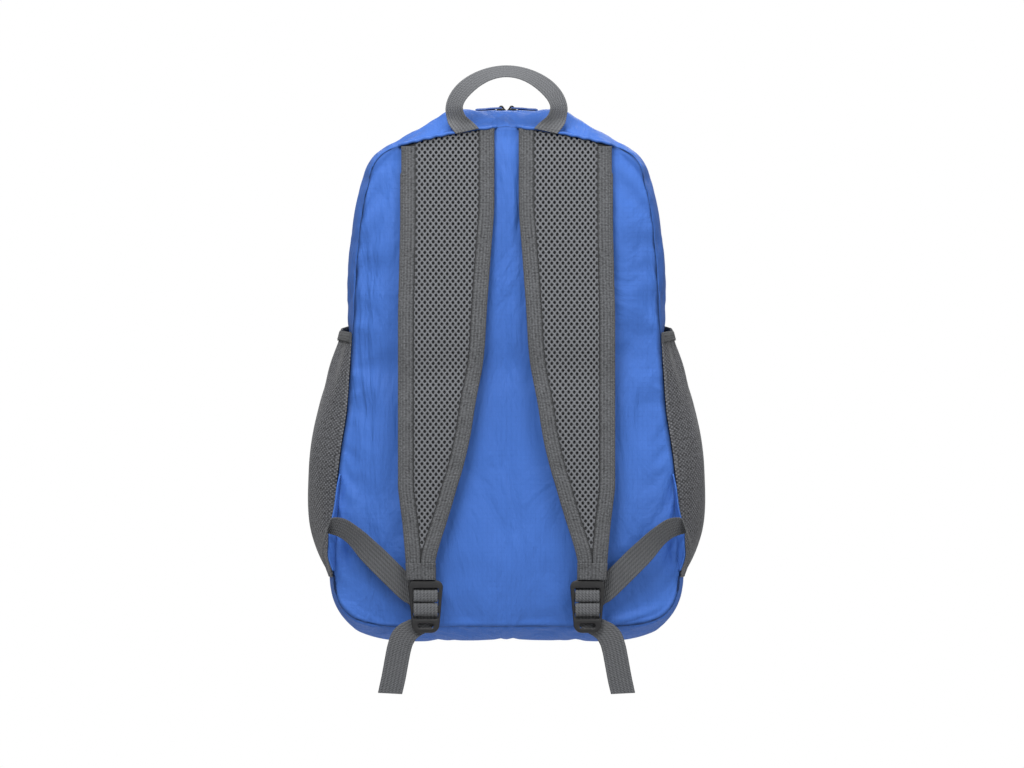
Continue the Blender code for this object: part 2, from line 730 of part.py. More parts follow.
def make_sliders():
    """The two zip sliders, nose to nose, each with a bridge over its top."""
    half = SLIDER_LENGTH / 2.0
    nose = SLIDER_NOSE
    top = SLIDER_BASE
    base = [
        (-half, SLIDER_LIFT), (half, SLIDER_LIFT), (half, top - nose), (half - nose, top),
        (-half + nose, top), (-half, top - nose),
    ]
    rise = PULL_BAR + 2.0 * GAP + PULL_PLAY
    reach = BRIDGE_LENGTH / 2.0
    inner = reach - BRIDGE_WALL
    crown = reach - rise / 2.0
    low = top - BRIDGE_SINK
    bridge = [
        (-reach, low), (-reach, top + rise / 2.0), (-crown, top + rise + BRIDGE_WALL),
        (crown, top + rise + BRIDGE_WALL), (reach, top + rise / 2.0), (reach, low),
        (inner, low), (inner, top + rise / 2.0), (crown - BRIDGE_WALL / 2.0, top + rise),
        (BRIDGE_WALL / 2.0 - crown, top + rise), (-inner, top + rise / 2.0), (-inner, low),
    ]
    for name, side in (("left_slider", -1.0), ("right_slider", 1.0)):
        frame = zip_frame(side)
        mesh = prism(name, base, frame, -SLIDER_WIDTH / 2.0, SLIDER_WIDTH / 2.0)
        made = add_object(name, mesh, (BLACK, 0.35), 30.0)
        tool = prism(name + "_bridge_tool", bridge, frame, -BRIDGE_WIDTH / 2.0, BRIDGE_WIDTH / 2.0)
        combine(made, add_tool(name + "_bridge_tool", tool), "UNION")


def pull_axis(side):
    """A pull's hinge: its centre, and the slider's directions."""
    centre, run, across, up = zip_frame(side)
    height = SLIDER_BASE + GAP + (PULL_BAR + PULL_PLAY) / 2.0
    return centre + up * height, run, across, up


def make_pulls():
    """The pull tabs, lying outwards along the zip and hinged on their bars."""
    tilt = math.radians(PULL_TILT)
    for name, side in (("left_pull", -1.0), ("right_pull", 1.0)):
        centre, run, across, up = pull_axis(side)
        out = (run * math.cos(tilt) - up * math.sin(tilt)).normalized()
        lift = (up * math.cos(tilt) + run * math.sin(tilt)).normalized()
        edge = [
            (PULL_LENGTH * row.along - PULL_BAR / 2.0, PULL_WIDTH / 2.0 * row.half) for row in PULL_ROWS
        ]
        outline = [(x, -y) for x, y in edge] + edge[::-1]
        origin = bpy.data.objects.new(name + "_hinge", None)
        bpy.context.collection.objects.link(origin)
        origin.location = centre
        rings = []
        for level in (-PULL_BAR / 2.0, PULL_BAR / 2.0):
            rings.append([out * x + across * y + lift * level for x, y in outline])
        made = add_object(name, ring_mesh(name, rings), (BLACK, 0.4), 30.0)
        made.parent = origin
        wide = PULL_WINDOW_WIDTH / 2.0
        near = PULL_BAR / 2.0
        far = near + PULL_WINDOW_LENGTH
        window = [(near, -wide), (far, -wide), (far, wide), (near, wide)]
        rings = []
        for level in (-PULL_BAR, PULL_BAR):
            rings.append([out * x + across * y + lift * level for x, y in window])
        tool = add_tool(name + "_window_tool", ring_mesh(name + "_window_tool", rings))
        tool.parent = origin
        combine(made, tool, "DIFFERENCE")


def panel_grid(depth_at, place_at):
    """Rings of a panel from its seam to its middle, and its middle point."""
    middle = BACK_TOP - BACK_HEIGHT / 2.0
    rings = []
    for scale in PANEL_RINGS:
        ring = []
        for along, side in full_ring():
            x, z = seam_at(along)
            x *= side
            inner_x = x * scale
            inner_z = middle + (z - middle) * scale
            ring.append(place_at(inner_x, inner_z, depth_at(inner_x, inner_z)))
        rings.append(ring)
    return rings, place_at(0.0, middle, depth_at(0.0, middle))


def panel_mesh(name, rings, centre):
    """A domed sheet through the rings of a panel."""
    count = len(rings[0])
    points = [point for ring in rings for point in ring] + [centre]
    faces = []
    for row in range(len(rings) - 1):
        for place in range(count):
            after = (place + 1) % count
            faces.append((
                row * count + place, row * count + after,
                (row + 1) * count + after, (row + 1) * count + place,
            ))
    last = (len(rings) - 1) * count
    for place in range(count):
        faces.append((last + place, last + (place + 1) % count, len(points) - 1))
    mesh = bpy.data.meshes.new(name)
    mesh.from_pydata([tuple(point) for point in points], [], faces)
    return mesh


def make_back_panel():
    """The panel against the wearer's back, with its creases."""
    def place(x, z, depth):
        return (x, -depth, z)

    rings, centre = panel_grid(back_depth, place)
    made = add_object("back_panel", panel_mesh("back_panel", rings, centre), (BLUE, 0.55))
    return thicken(made, CLOTH, 1.0)


def front_depth(x, z):
    """How far the front panel's outer face stands out from the front seam."""
    share = dome_share(x, z, *FRONT_DOME_POWERS)
    return CLOTH + GAP + share * (FRONT_DOME - fold_depth(FRONT_FOLDS, x, z))


def make_front_panel():
    """The outer panel, plain and bellied out."""
    def place(x, z, depth):
        seam = front_of((x, z))
        return (seam[0], seam[1] + depth, seam[2])

    rings, centre = panel_grid(front_depth, place)
    made = add_object("front_panel", panel_mesh("front_panel", rings, centre), (BLUE, 0.55))
    return thicken(made, CLOTH, -1.0)


def pocket_along(down, through):
    """A pocket's share along the seam, at shares down its height and through its depth."""
    rim = POCKET_RIM - POCKET_RIM_RISE * through
    return rim + (POCKET_BOTTOM - rim) * down


def pocket_point(down, through):
    """The pocket's inner face on the right half."""
    along = pocket_along(down, through)
    base = gusset_point(along, through)
    normal = gusset_normal(along, through)
    own = GUSSET_BULGE * table_value(BULGE_ROWS, "along", "bulge", along)
    swell = POCKET_STAND_OFF * table_value(SWELL_ROWS, "down", "swell", down) - own
    round_off = max(math.sin(math.pi * through), 0.0) ** POCKET_ROUNDNESS
    fade = math.exp(-((down - GATHER_PLACE) / GATHER_REACH) ** 2)
    gathers = math.sin(through * math.pi * 2.0 * GATHER_COUNT) * fade
    away = (max(swell, 0.0) + GATHER_DEPTH * gathers) * round_off
    return base + normal * (GAP + max(away, 0.0))


def make_pockets():
    """The side pockets, each with the elastic binding along its rim."""
    side_length = (POCKET_BOTTOM - POCKET_RIM) * seam_length()
    binding = POCKET_BINDING / side_length
    throughs = np.linspace(0.0, 1.0, POCKET_COLUMNS + 1)
    start = binding + GAP / side_length
    downs = start + (1.0 - start) * np.linspace(0.0, 1.0, POCKET_ROWS + 1) ** 0.9
    for word, side in (("left", -1.0), ("right", 1.0)):
        grid = [[mirrored(pocket_point(down, t), side) for t in throughs] for down in downs]
        name = word + "_pocket"
        made = add_object(name, grid_mesh(name, grid), (POCKET_GRAY, 0.8))
        thicken(made, CLOTH, -side)
        name = word + "_pocket_binding"
        edge = [[mirrored(pocket_point(down, t), side) for t in throughs] for down in (0.0, binding)]
        made = add_object(name, grid_mesh(name, edge), (WEB_GRAY, 0.8))
        thicken(made, BINDING_WALL, -side)


def seam_length():
    """Length of half the back seam."""
    return float(np.sum(np.linalg.norm(np.diff(SEAM, axis=0), axis=1)))


def strap_frames(side):
    """Stations of a strap: outer edge, inner edge and the direction out of its face."""
    shares = np.linspace(0.0, 1.0, STRAP_STATIONS)
    frames = []
    for share in shares:
        (outer_x, outer_z), (inner_x, inner_z) = strap_edges(side, share)
        depth = strap_depth(side, share)
        outer = Vector((outer_x, -depth, outer_z))
        inner = Vector((inner_x, -depth, inner_z))
        frames.append((share, outer, inner))
    placed = []
    for place, (share, outer, inner) in enumerate(frames):
        before = frames[max(place - 1, 0)]
        after = frames[min(place + 1, len(frames) - 1)]
        run = (after[1] + after[2] - before[1] - before[2]).normalized()
        over = (inner - outer).normalized()
        face = over.cross(run).normalized()
        if face.y > 0.0:
            face = -face
        placed.append((share, outer, inner, face))
    return placed


def tape_width(width):
    """Width of a binding tape on a strap of some width."""
    return min(TAPE_WIDTH, width / 2.0 - GAP)


def make_strap(word, side):
    """One shoulder strap: its pad of spacer mesh and the tapes folded round its edges."""
    edge_half = PAD_EDGE_THICKNESS / 2.0
    inner_half = edge_half + GAP
    outer_half = tape_half_thickness()
    pad_rings = []
    outer_rings = []
    inner_rings = []
    for share, outer, inner, face in strap_frames(side):
        width = (inner - outer).length
        over = (inner - outer) / width
        full = PAD_THICKNESS / 2.0 * float(table_value(LOFT_ROWS, "down", "thickness", share))
        tape = tape_width(width)
        rim = TAPE_WALL + GAP
        ramp = max(width / 2.0 - tape - GAP, 0.0)
        shoulder = tape + GAP + min(ramp, PAD_RAMP)
        rise = max(edge_half, min(full, edge_half + ramp * PAD_RAMP_SLOPE))
        halves = [(rim, edge_half), (tape + GAP, edge_half), (shoulder, rise)]
        upper = [(place, half) for place, half in halves]
        upper += [(width - place, half) for place, half in reversed(halves)]
        if width - 2.0 * shoulder < GAP:
            places = np.linspace(width / 2.0 - PAD_RIDGE / 2.0, width / 2.0 + PAD_RIDGE / 2.0, 4)
            upper = [(place, edge_half) for place in (rim, *places, width - rim)]
        ring = [outer + over * place + face * half for place, half in upper]
        ring += [outer + over * place - face * half for place, half in reversed(upper)]
        pad_rings.append(ring)
        for rings, corner, inward in ((outer_rings, outer, over), (inner_rings, inner, -over)):
            section = [
                (0.0, -outer_half), (tape, -outer_half), (tape, -inner_half), (TAPE_WALL, -inner_half),
                (TAPE_WALL, inner_half), (tape, inner_half), (tape, outer_half), (0.0, outer_half),
            ]
            rings.append([corner + inward * place + face * half for place, half in section])
    add_object(word + "_strap", ring_mesh(word + "_strap", pad_rings), (MESH_GRAY, 0.85))
    name = word + "_strap_outer_tape"
    add_object(name, ring_mesh(name, outer_rings), (WEB_GRAY, 0.8), 30.0)
    name = word + "_strap_inner_tape"
    add_object(name, ring_mesh(name, inner_rings), (WEB_GRAY, 0.8), 30.0)


def buckle_centre(side):
    """The top middle of a buckle, in the middle of its thickness."""
    (outer_x, outer_z), (inner_x, inner_z) = strap_edges(side, 1.0)
    x = (outer_x + inner_x) / 2.0 - side * BUCKLE_SHIFT
    return Vector((x, -strap_depth(side, 1.0), (outer_z + inner_z) / 2.0 - GAP))


def rounded(half_top, half_bottom, top, bottom, radius_top, radius_bottom, steps=3):
    """An outline with four round corners, as x, z points."""
    corners = [
        (half_top - radius_top, top - radius_top, radius_top, 90.0),
        (-half_top + radius_top, top - radius_top, radius_top, 180.0),
        (-half_bottom + radius_bottom, bottom + radius_bottom, radius_bottom, 270.0),
        (half_bottom - radius_bottom, bottom + radius_bottom, radius_bottom, 360.0),
    ]
    outline = []
    for x, z, radius, end in corners:
        for step in range(steps + 1):
            turn = math.radians(end - 90.0 + 90.0 * step / steps)
            outline.append((x + radius * math.cos(turn), z + radius * math.sin(turn)))
    return outline


def plate(name, outline, centre, thickness):
    """A plate in the strap's plane with an outline of x, z points."""
    rings = []
    for depth in (-thickness / 2.0, thickness / 2.0):
        rings.append([centre + Vector((x, depth, z)) for x, z in outline])
    return ring_mesh(name, rings)


def make_buckle(word, side):
    """A ladder-lock buckle: a frame with two bars and a slotted end plate."""
    centre = buckle_centre(side)
    outline = rounded(
        BUCKLE_WIDTH / 2.0, BUCKLE_END_WIDTH / 2.0, 0.0, -BUCKLE_HEIGHT, BUCKLE_TOP_CORNER, BUCKLE_END_CORNER
    )
    name = word + "_buckle"
    made = add_object(name, plate(name, outline, centre, BUCKLE_THICKNESS), (BLACK, 0.4), 30.0)
    half = WEBBING_WIDTH / 2.0 + GAP
    windows = (
        (half, -BUCKLE_TOP_BAR, -LOOP_BAR_DROP + LOOP_BAR / 2.0),
        (half, -LOOP_BAR_DROP - LOOP_BAR / 2.0, -WEB_BAR_DROP + WEB_BAR / 2.0),
        (half, -WEB_BAR_DROP - WEB_BAR / 2.0, -BUCKLE_PLATE_DROP),
        (BUCKLE_SLOT_WIDTH / 2.0, -BUCKLE_SLOT_DROP + BUCKLE_SLOT_HEIGHT / 2.0,
         -BUCKLE_SLOT_DROP - BUCKLE_SLOT_HEIGHT / 2.0),
    )
    for number, (wide, top, bottom) in enumerate(windows):
        tool_name = "%s_window_%d" % (name, number)
        hole = rounded(wide, wide, top, bottom, BUCKLE_WINDOW_CORNER, BUCKLE_WINDOW_CORNER, 1)
        tool = add_tool(tool_name, plate(tool_name, hole, centre, BUCKLE_THICKNESS * 2.0))
        combine(made, tool, "DIFFERENCE")
    edge = made.modifiers.new("Edge", "BEVEL")
    edge.width = BUCKLE_EDGE
    edge.segments = 1
    edge.limit_method = "ANGLE"
    edge.angle_limit = math.radians(60.0)


def bar_points(rows, centre, drop):
    """The x, y, z of a loop's rows round a bar of a buckle."""
    return [
        (centre.x, centre.y + row.back * MM, centre.z - drop + row.up * MM) for row in rows
    ]


def make_buckle_loop(word, side):
    """The fixed loop of webbing that holds a buckle under its pad."""
    centre = buckle_centre(side)
    rows = [[*point, 1.0, 0.0, 0.0, 1.0] for point in bar_points(LOOP_ROWS, centre, LOOP_BAR_DROP)]
    strip(word + "_buckle_loop", rows, (WEB_GRAY, 0.8), count=LOOP_STATIONS)


def webbing_start(side):
    """Where the adjusting webbing leaves the side seam."""
    seam_z = BACK_TOP - WEBBING_SEAM_DOWN * BACK_HEIGHT
    return side * (float(half_width(seam_z)) + WEBBING_SEAM_OUT), seam_z


def make_webbing(word, side):
    """The adjusting webbing: up the wing, down to the buckle, round its bar, and the free tail."""
    centre = buckle_centre(side)
    start_x, start_z = webbing_start(side)
    bar_z = centre.z - WEB_BAR_DROP
    rows = []
    for row in INCOMING_ROWS:
        x = start_x + (centre.x - start_x) * row.across
        z = start_z + (start_z - bar_z) * row.up
        over = direction(row.turn, row.lean)
        rows.append([x, centre.y * row.back, z, -side * over[0], over[1], over[2], row.width])
    for point in bar_points(WEB_BAR_ROWS, centre, WEB_BAR_DROP):
        rows.append([*point, -side, 0.0, 0.0, 1.0])
    for row in TAIL_ROWS:
        x = centre.x + side * TAIL_REACH_X * row.across
        z = bar_z - TAIL_REACH_Z * row.up
        over = direction(row.turn, row.lean)
        rows.append([x, centre.y + row.back * MM, z, -side * over[0], over[1], over[2], row.width])
    strip(word + "_webbing", rows, (WEB_GRAY, 0.8), count=WEB_STATIONS)


def make_wing(word, side):
    """The cloth tab at the side seam that carries the webbing."""
    grid = []
    near = CLOTH + GAP * 2.0
    for share in np.linspace(0.0, 1.0, WING_ROWS_DOWN):
        down = WING_TOP + (WING_BOTTOM - WING_TOP) * share
        z = BACK_TOP - down * BACK_HEIGHT
        x = float(half_width(z)) - WING_INSET
        out = WING_OUT * float(table_value(WING_ROWS, "down", "out", share))
        lean = WING_OUT * float(table_value(WING_ROWS, "down", "lean", share))
        row = []
        for place in np.linspace(0.0, 1.0, WING_COLUMNS):
            row.append((side * (x + lean * place ** WING_CURL), -(near + out * place), z))
        grid.append(row)
    made = add_object(word + "_wing", grid_mesh(word + "_wing", grid), (BLUE, 0.55))
    thicken(made, WING_WALL, 0.0)


def make_handle():
    """The grab handle, both ends in the top seam, its crown tilted."""
    base = float(top_seam(HANDLE_BASE_X)) + GAP * 2.0
    rows = []
    for row in HANDLE_ROWS:
        over = direction(row.turn, -row.lean)
        rows.append([
            -HANDLE_SPAN * row.across, row.back * MM, base + HANDLE_RISE * row.up,
            -over[0], over[1], -over[2], 1.0,
        ])
    for row in reversed(HANDLE_ROWS[:-1]):
        over = direction(row.turn, -row.lean)
        rows.append([
            HANDLE_SPAN * row.across, row.back * MM, base + HANDLE_RISE * row.up,
            over[0], over[1], -over[2], 1.0,
        ])
    strip("grab_handle", rows, (WEB_GRAY, 0.8), count=HANDLE_STATIONS)


def main():
    """Build the backpack."""
    clear_scene()
    make_back_panel()
    make_front_panel()
    make_gusset()
    make_zip_tape()
    make_zip_coils()
    make_sliders()
    make_pulls()
    make_pockets()
    for word, side in (("left", -1.0), ("right", 1.0)):
        make_strap(word, side)
        make_buckle(word, side)
        make_buckle_loop(word, side)
        make_webbing(word, side)
        make_wing(word, side)
    make_handle()


main()
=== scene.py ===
"""Packable backpack, harness side: the cloth, webbing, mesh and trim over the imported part."""
import math

import bmesh
import bpy
import numpy as np
from bpy.props import FloatProperty, FloatVectorProperty, IntProperty, PointerProperty
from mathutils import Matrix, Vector


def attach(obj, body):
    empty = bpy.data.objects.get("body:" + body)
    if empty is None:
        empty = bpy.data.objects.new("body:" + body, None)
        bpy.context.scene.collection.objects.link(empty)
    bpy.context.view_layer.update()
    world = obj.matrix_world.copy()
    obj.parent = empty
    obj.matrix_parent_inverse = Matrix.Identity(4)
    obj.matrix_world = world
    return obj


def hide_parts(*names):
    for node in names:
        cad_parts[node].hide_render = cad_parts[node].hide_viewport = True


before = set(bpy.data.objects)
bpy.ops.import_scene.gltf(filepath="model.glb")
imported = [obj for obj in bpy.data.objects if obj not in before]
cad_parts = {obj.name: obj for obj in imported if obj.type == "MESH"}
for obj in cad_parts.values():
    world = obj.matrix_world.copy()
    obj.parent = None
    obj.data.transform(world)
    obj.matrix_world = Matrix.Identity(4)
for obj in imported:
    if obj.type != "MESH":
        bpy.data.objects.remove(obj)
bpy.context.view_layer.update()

bl_info = {
    "name": "Packable Backpack Looks",
    "version": (1, 0, 0),
    "blender": (4, 5, 0),
    "location": "3D View > Sidebar > Backpack",
    "description": "Dresses the packed backpack in ripstop, webbing, spacer mesh and knit",
    "category": "Object",
}

MM = 0.001
GAP = 0.4 * MM
CLOTH = 1.5 * MM

# The bag's own sizes, as its solids have them
BACK_TOP = -40.8 * MM
BACK_HEIGHT = 412.7 * MM
BACK_MIDDLE = BACK_TOP - BACK_HEIGHT / 2.0
HALF_WIDTH = 143.5 * MM
DEPTH = 122.0 * MM
FRONT_DROP = 10.0 * MM
FRONT_RISE = 4.0 * MM
FRONT_SHARE = 0.97
GUSSET_BULGE = 24.0 * MM
BACK_DOME = 8.5 * MM
FRONT_DOME = 28.0 * MM
FOLD_DEPTH = 2.2 * MM
ZIP_SLOT = 9.0 * MM
ZIP_PLACE = 0.62
ZIP_END = 0.365
SLIDER_LENGTH = 8.0 * MM
POCKET_STAND_OFF = 27.0 * MM
POCKET_RIM = 0.411
POCKET_RIM_RISE = 0.018
POCKET_BOTTOM = 0.734
GATHER_COUNT = 3.5
STRAP_TOP_WIDTH = 78.0 * MM
STRAP_OUTER_X = 89.6 * MM
STRAP_END = -414.8 * MM
STRAP_LOFT = 15.0 * MM
STRAP_TOP_DROP = 0.9 * MM
PAD_THICKNESS = 6.0 * MM
PAD_EDGE = 2.4 * MM
TAPE_WIDTH = 12.5 * MM
TAPE_WALL = 1.0 * MM
TAPE_HALF = PAD_EDGE / 2.0 + GAP + TAPE_WALL
BUCKLE_SHIFT = 3.7 * MM
BUCKLE_WIDTH = 28.5 * MM
BUCKLE_END_WIDTH = 23.0 * MM
BUCKLE_HEIGHT = 43.4 * MM
BUCKLE_THICKNESS = 3.6 * MM
LOOP_BAR_DROP = 13.0 * MM
WEB_BAR_DROP = 24.0 * MM
TAIL_REACH_X = 29.4 * MM
TAIL_REACH_Z = 69.4 * MM
WEBBING_SEAM_DOWN = 0.899
WEBBING_SEAM_OUT = 2.7 * MM
WEBBING_WIDTH = 20.0 * MM
WEBBING_CORDS = 7
CORD_PITCH = WEBBING_WIDTH / WEBBING_CORDS
WING_TOP = 0.695
WING_BOTTOM = 0.888
WING_OUT = 16.0 * MM
WING_INSET = 1.5 * MM
HANDLE_BASE_X = 33.0 * MM
HANDLE_SPAN = 43.4 * MM
HANDLE_RISE = 48.6 * MM
SIDES = (("left", -1.0), ("right", 1.0))

# Seam of the back panel: shares across and down
SEAM_ROWS = np.array([
    (0.000, 0.000), (0.209, 0.007), (0.418, 0.021), (0.606, 0.037), (0.704, 0.051), (0.763, 0.073),
    (0.794, 0.107), (0.819, 0.146), (0.857, 0.248), (0.882, 0.386), (0.899, 0.483), (0.916, 0.567),
    (0.951, 0.647), (0.976, 0.725), (0.993, 0.822), (1.000, 0.883), (0.986, 0.931), (0.948, 0.963),
    (0.878, 0.984), (0.753, 0.997), (0.418, 1.000), (0.000, 1.000),
])
# Depth of the bag: share down, share of the greatest depth
DEPTH_ROWS = np.array([(0.00, 0.61), (0.15, 0.76), (0.38, 0.92), (0.62, 1.00), (0.88, 1.00), (1.00, 0.92)])
# Bulge of the gusset: share along the seam, share of the greatest bulge
BULGE_ROWS = np.array([
    (0.000, 0.79), (0.032, 0.85), (0.060, 0.97), (0.071, 0.98), (0.090, 0.80), (0.117, 0.58),
    (0.144, 0.40), (0.167, 0.30), (0.200, 0.25), (0.302, 0.30), (0.388, 0.30), (0.416, 0.16),
    (0.460, 0.12), (0.680, 0.14), (0.730, 0.22), (0.780, 0.30), (0.815, 0.42), (0.870, 0.53),
    (1.000, 0.58),
])
# Stand-off of a pocket: share down the pocket, share of the greatest stand-off
SWELL_ROWS = np.array([
    (0.00, 0.40), (0.05, 0.44), (0.10, 0.55), (0.16, 0.69), (0.23, 0.82), (0.31, 0.94), (0.51, 1.00),
    (0.62, 0.97), (0.73, 0.90), (0.82, 0.77), (0.90, 0.56), (0.97, 0.28), (1.00, 0.12),
])
# A strap: share down, outer edge, width
STRAP_ROWS = np.array([
    (0.000, 0.981, 1.000), (0.161, 0.981, 1.000), (0.273, 0.989, 0.974), (0.405, 1.000, 0.942),
    (0.516, 1.000, 0.904), (0.604, 1.000, 0.826), (0.693, 1.000, 0.756), (0.781, 1.000, 0.646),
    (0.825, 0.982, 0.564), (0.870, 0.960, 0.474), (0.913, 0.944, 0.390), (0.958, 0.929, 0.320),
    (1.000, 0.916, 0.300),
])
# A strap: share down, loft off the panel, fullness of the pad
LOFT_ROWS = np.array([
    (0.00, 0.00, 0.42), (0.05, 0.03, 0.80), (0.12, 0.12, 1.00), (0.25, 0.42, 1.00), (0.50, 0.88, 1.00),
    (0.70, 1.00, 1.00), (0.86, 1.00, 0.85), (1.00, 0.93, 0.45),
])
# Folds: across, down, length, width, angle, depth
BACK_FOLDS = (
    (0.00, 0.485, 0.95, 0.040, 0.0, 1.00), (0.00, 0.860, 0.60, 0.030, 0.0, -0.60),
    (-0.04, 0.600, 0.060, 0.500, 0.0, 0.70), (0.78, 0.400, 0.050, 0.400, 6.0, 0.70),
    (-0.76, 0.420, 0.050, 0.400, -6.0, 0.70), (0.55, 0.930, 0.450, 0.030, 8.0, 0.80),
    (-0.55, 0.930, 0.450, 0.030, -8.0, 0.80),
)
FRONT_FOLDS = (
    (0.00, 0.300, 0.90, 0.060, 0.0, 1.20), (0.30, 0.620, 0.080, 0.350, 10.0, 1.00),
    (-0.34, 0.560, 0.080, 0.350, -8.0, 1.00), (0.00, 0.840, 0.80, 0.050, 0.0, 1.10),
)
# A wing: share down, how far out, how far it leans
WING_ROWS = np.array([
    (0.00, 0.10, 0.00), (0.20, 0.26, 0.10), (0.40, 0.38, 0.20), (0.55, 0.48, 0.30), (0.70, 0.70, 0.36),
    (0.85, 0.95, 0.34), (1.00, 0.92, 0.05),
])
# The handle from its base to its crown: across, up, back, turn, lean
HANDLE_ROWS = (
    (0.745, -0.030, -9.4, 13.0, 2.0), (0.800, 0.030, -8.8, 11.0, 5.0), (0.860, 0.090, -7.4, 9.0, 12.0),
    (0.950, 0.200, -5.2, 6.0, 36.0),
    (0.995, 0.360, -4.6, -2.0, 44.0), (0.945, 0.520, -3.2, -22.0, 46.0), (0.800, 0.690, -2.2, -42.0, 47.0),
    (0.560, 0.850, -1.2, -60.0, 53.0), (0.280, 0.955, -0.4, -76.0, 59.0), (0.000, 0.990, 0.0, -90.0, 61.0),
)
# Webbing round the buckle's bars: back and up in millimetres from the bar
LOOP_ROWS = (
    (4.3, 24.0), (3.9, 15.0), (3.5, 10.0), (3.1, 7.2), (2.2, 5.0), (0.2, 4.4), (-2.4, 3.8), (-3.2, 1.8),
    (-3.2, -0.9), (-2.5, -3.5), (-0.2, -4.5), (2.1, -3.9), (3.2, -1.6), (3.5, 1.4), (4.6, 4.8), (5.5, 8.0),
    (5.9, 13.0), (6.3, 24.0),
)
WEB_BAR_ROWS = (
    (9.2, -4.5), (8.9, -8.6), (7.2, -10.6), (5.6, -8.8), (5.3, -5.0), (4.9, -0.8), (3.7, 3.0), (1.6, 4.4),
    (-0.4, 4.7), (-2.6, 4.1), (-3.5, 1.9), (-3.5, -0.6), (-3.0, -3.2), (-1.0, -4.8), (1.2, -5.2),
    (2.7, -6.4), (3.2, -9.2),
)
# Webbing routes: across, back, up, turn, lean, width
INCOMING_ROWS = (
    (0.000, 0.61, 0.000, 0.0, 90.0, 1.0), (-0.052, 0.63, 0.440, 0.0, 90.0, 1.0),
    (-0.070, 0.67, 0.800, 0.0, 88.0, 1.0), (-0.052, 0.80, 1.160, 60.0, 74.0, 1.0),
    (0.005, 0.99, 1.530, 68.0, 46.0, 1.0), (0.125, 1.09, 1.460, 67.0, 38.0, 1.0),
    (0.257, 1.11, 1.206, 52.0, 36.0, 1.0), (0.397, 1.07, 0.790, 50.0, 18.0, 1.0),
    (0.513, 0.99, 0.460, 49.5, 4.0, 1.0), (0.616, 0.90, 0.160, 49.5, 0.0, 1.0),
    (0.700, 0.79, -0.080, 49.0, 0.0, 1.0), (0.785, 0.68, -0.320, 47.0, 0.0, 1.0),
    (0.870, 0.61, -0.540, 36.0, 0.0, 1.0), (0.945, 0.59, -0.740, 18.0, 0.0, 1.0),
)
TAIL_ROWS = (
    (0.090, 3.3, 0.165, -24.0, 0.0, 0.86), (0.290, 3.6, 0.212, -42.0, 0.0, 0.86),
    (0.500, 4.0, 0.265, -40.0, 0.0, 0.92), (0.650, 4.5, 0.345, -27.0, 0.0, 1.0),
    (0.745, 5.2, 0.465, -15.0, 0.0, 1.0), (0.805, 5.9, 0.590, -11.0, 0.0, 1.0),
    (0.905, 6.8, 0.820, -10.0, 0.0, 1.0), (1.000, 7.6, 1.000, -3.0, 0.0, 1.0),
)


# Curves and surfaces of the bag

def smooth(at, places, values):
    """A smooth curve through a table's values."""
    at = np.clip(np.asarray(at, dtype=float), places[0], places[-1])
    steps = np.diff(places)
    slopes = np.diff(values) / steps
    tangents = np.concatenate(([slopes[0]], (slopes[:-1] + slopes[1:]) / 2.0, [slopes[-1]]))
    flat = np.concatenate(([False], slopes[:-1] * slopes[1:] <= 0.0, [False]))
    tangents[flat] = 0.0
    cell = np.clip(np.searchsorted(places, at, side="right") - 1, 0, len(steps) - 1)
    step = steps[cell]
    share = (at - places[cell]) / step
    square = share * share
    cube = square * share
    return (
        (2.0 * cube - 3.0 * square + 1.0) * values[cell]
        + (cube - 2.0 * square + share) * step * tangents[cell]
        + (3.0 * square - 2.0 * cube) * values[cell + 1]
        + (cube - square) * step * tangents[cell + 1]
    )


def read(rows, at, place=1):
    """A column of a table, read smoothly by its first column."""
    return smooth(at, rows[:, 0], rows[:, place])


def ease(low, high, at):
    """0 below low, 1 above high and smooth between."""
    share = np.clip((np.asarray(at, dtype=float) - low) / (high - low), 0.0, 1.0)
    return share * share * (3.0 - 2.0 * share)


def even_curve(points, count):
    """Points at even distances on a smooth curve through given points."""
    points = np.asarray(points, dtype=float)
    reach = np.concatenate(([0.0], np.cumsum(np.linalg.norm(np.diff(points[:, :3], axis=0), axis=1))))
    fine = np.linspace(0.0, reach[-1], count * 8)
    dense = np.stack([smooth(fine, reach, points[:, axis]) for axis in range(points.shape[1])], axis=1)
    run = np.concatenate(([0.0], np.cumsum(np.linalg.norm(np.diff(dense[:, :3], axis=0), axis=1))))
    even = np.linspace(0.0, run[-1], count)
    return np.stack([np.interp(even, run, dense[:, axis]) for axis in range(points.shape[1])], axis=1)


def seam_curve():
    """The right half of the back seam, evenly spaced."""
    points = np.zeros((len(SEAM_ROWS), 3))
    points[:, 0] = SEAM_ROWS[:, 0] * HALF_WIDTH
    points[:, 2] = BACK_TOP - SEAM_ROWS[:, 1] * BACK_HEIGHT
    return even_curve(points, 600)[:, [0, 2]]


SEAM = seam_curve()
SHARES = np.linspace(0.0, 1.0, len(SEAM))
WIDEST = int(np.argmax(SEAM[:, 0]))
SEAM_LENGTH = float(np.sum(np.linalg.norm(np.diff(SEAM, axis=0), axis=1)))


def seam(along):
    """The seam's x and z at a share of its way."""
    return np.interp(along, SHARES, SEAM[:, 0]), np.interp(along, SHARES, SEAM[:, 1])


def seam_out(along):
    """The seam's outward direction."""
    along = np.asarray(along, dtype=float)
    after = seam(np.minimum(along + 0.012, 1.0))
    before = seam(np.maximum(along - 0.012, 0.0))
    run_x = after[0] - before[0]
    run_z = np.where((along < 1e-9) | (along > 1.0 - 1e-9), 0.0, after[1] - before[1])
    length = np.hypot(run_x, run_z)
    return -run_z / length, run_x / length


def half_width(z):
    """Half width of the seam at a height."""
    return np.interp(-np.asarray(z), -SEAM[:, 1], SEAM[:, 0])


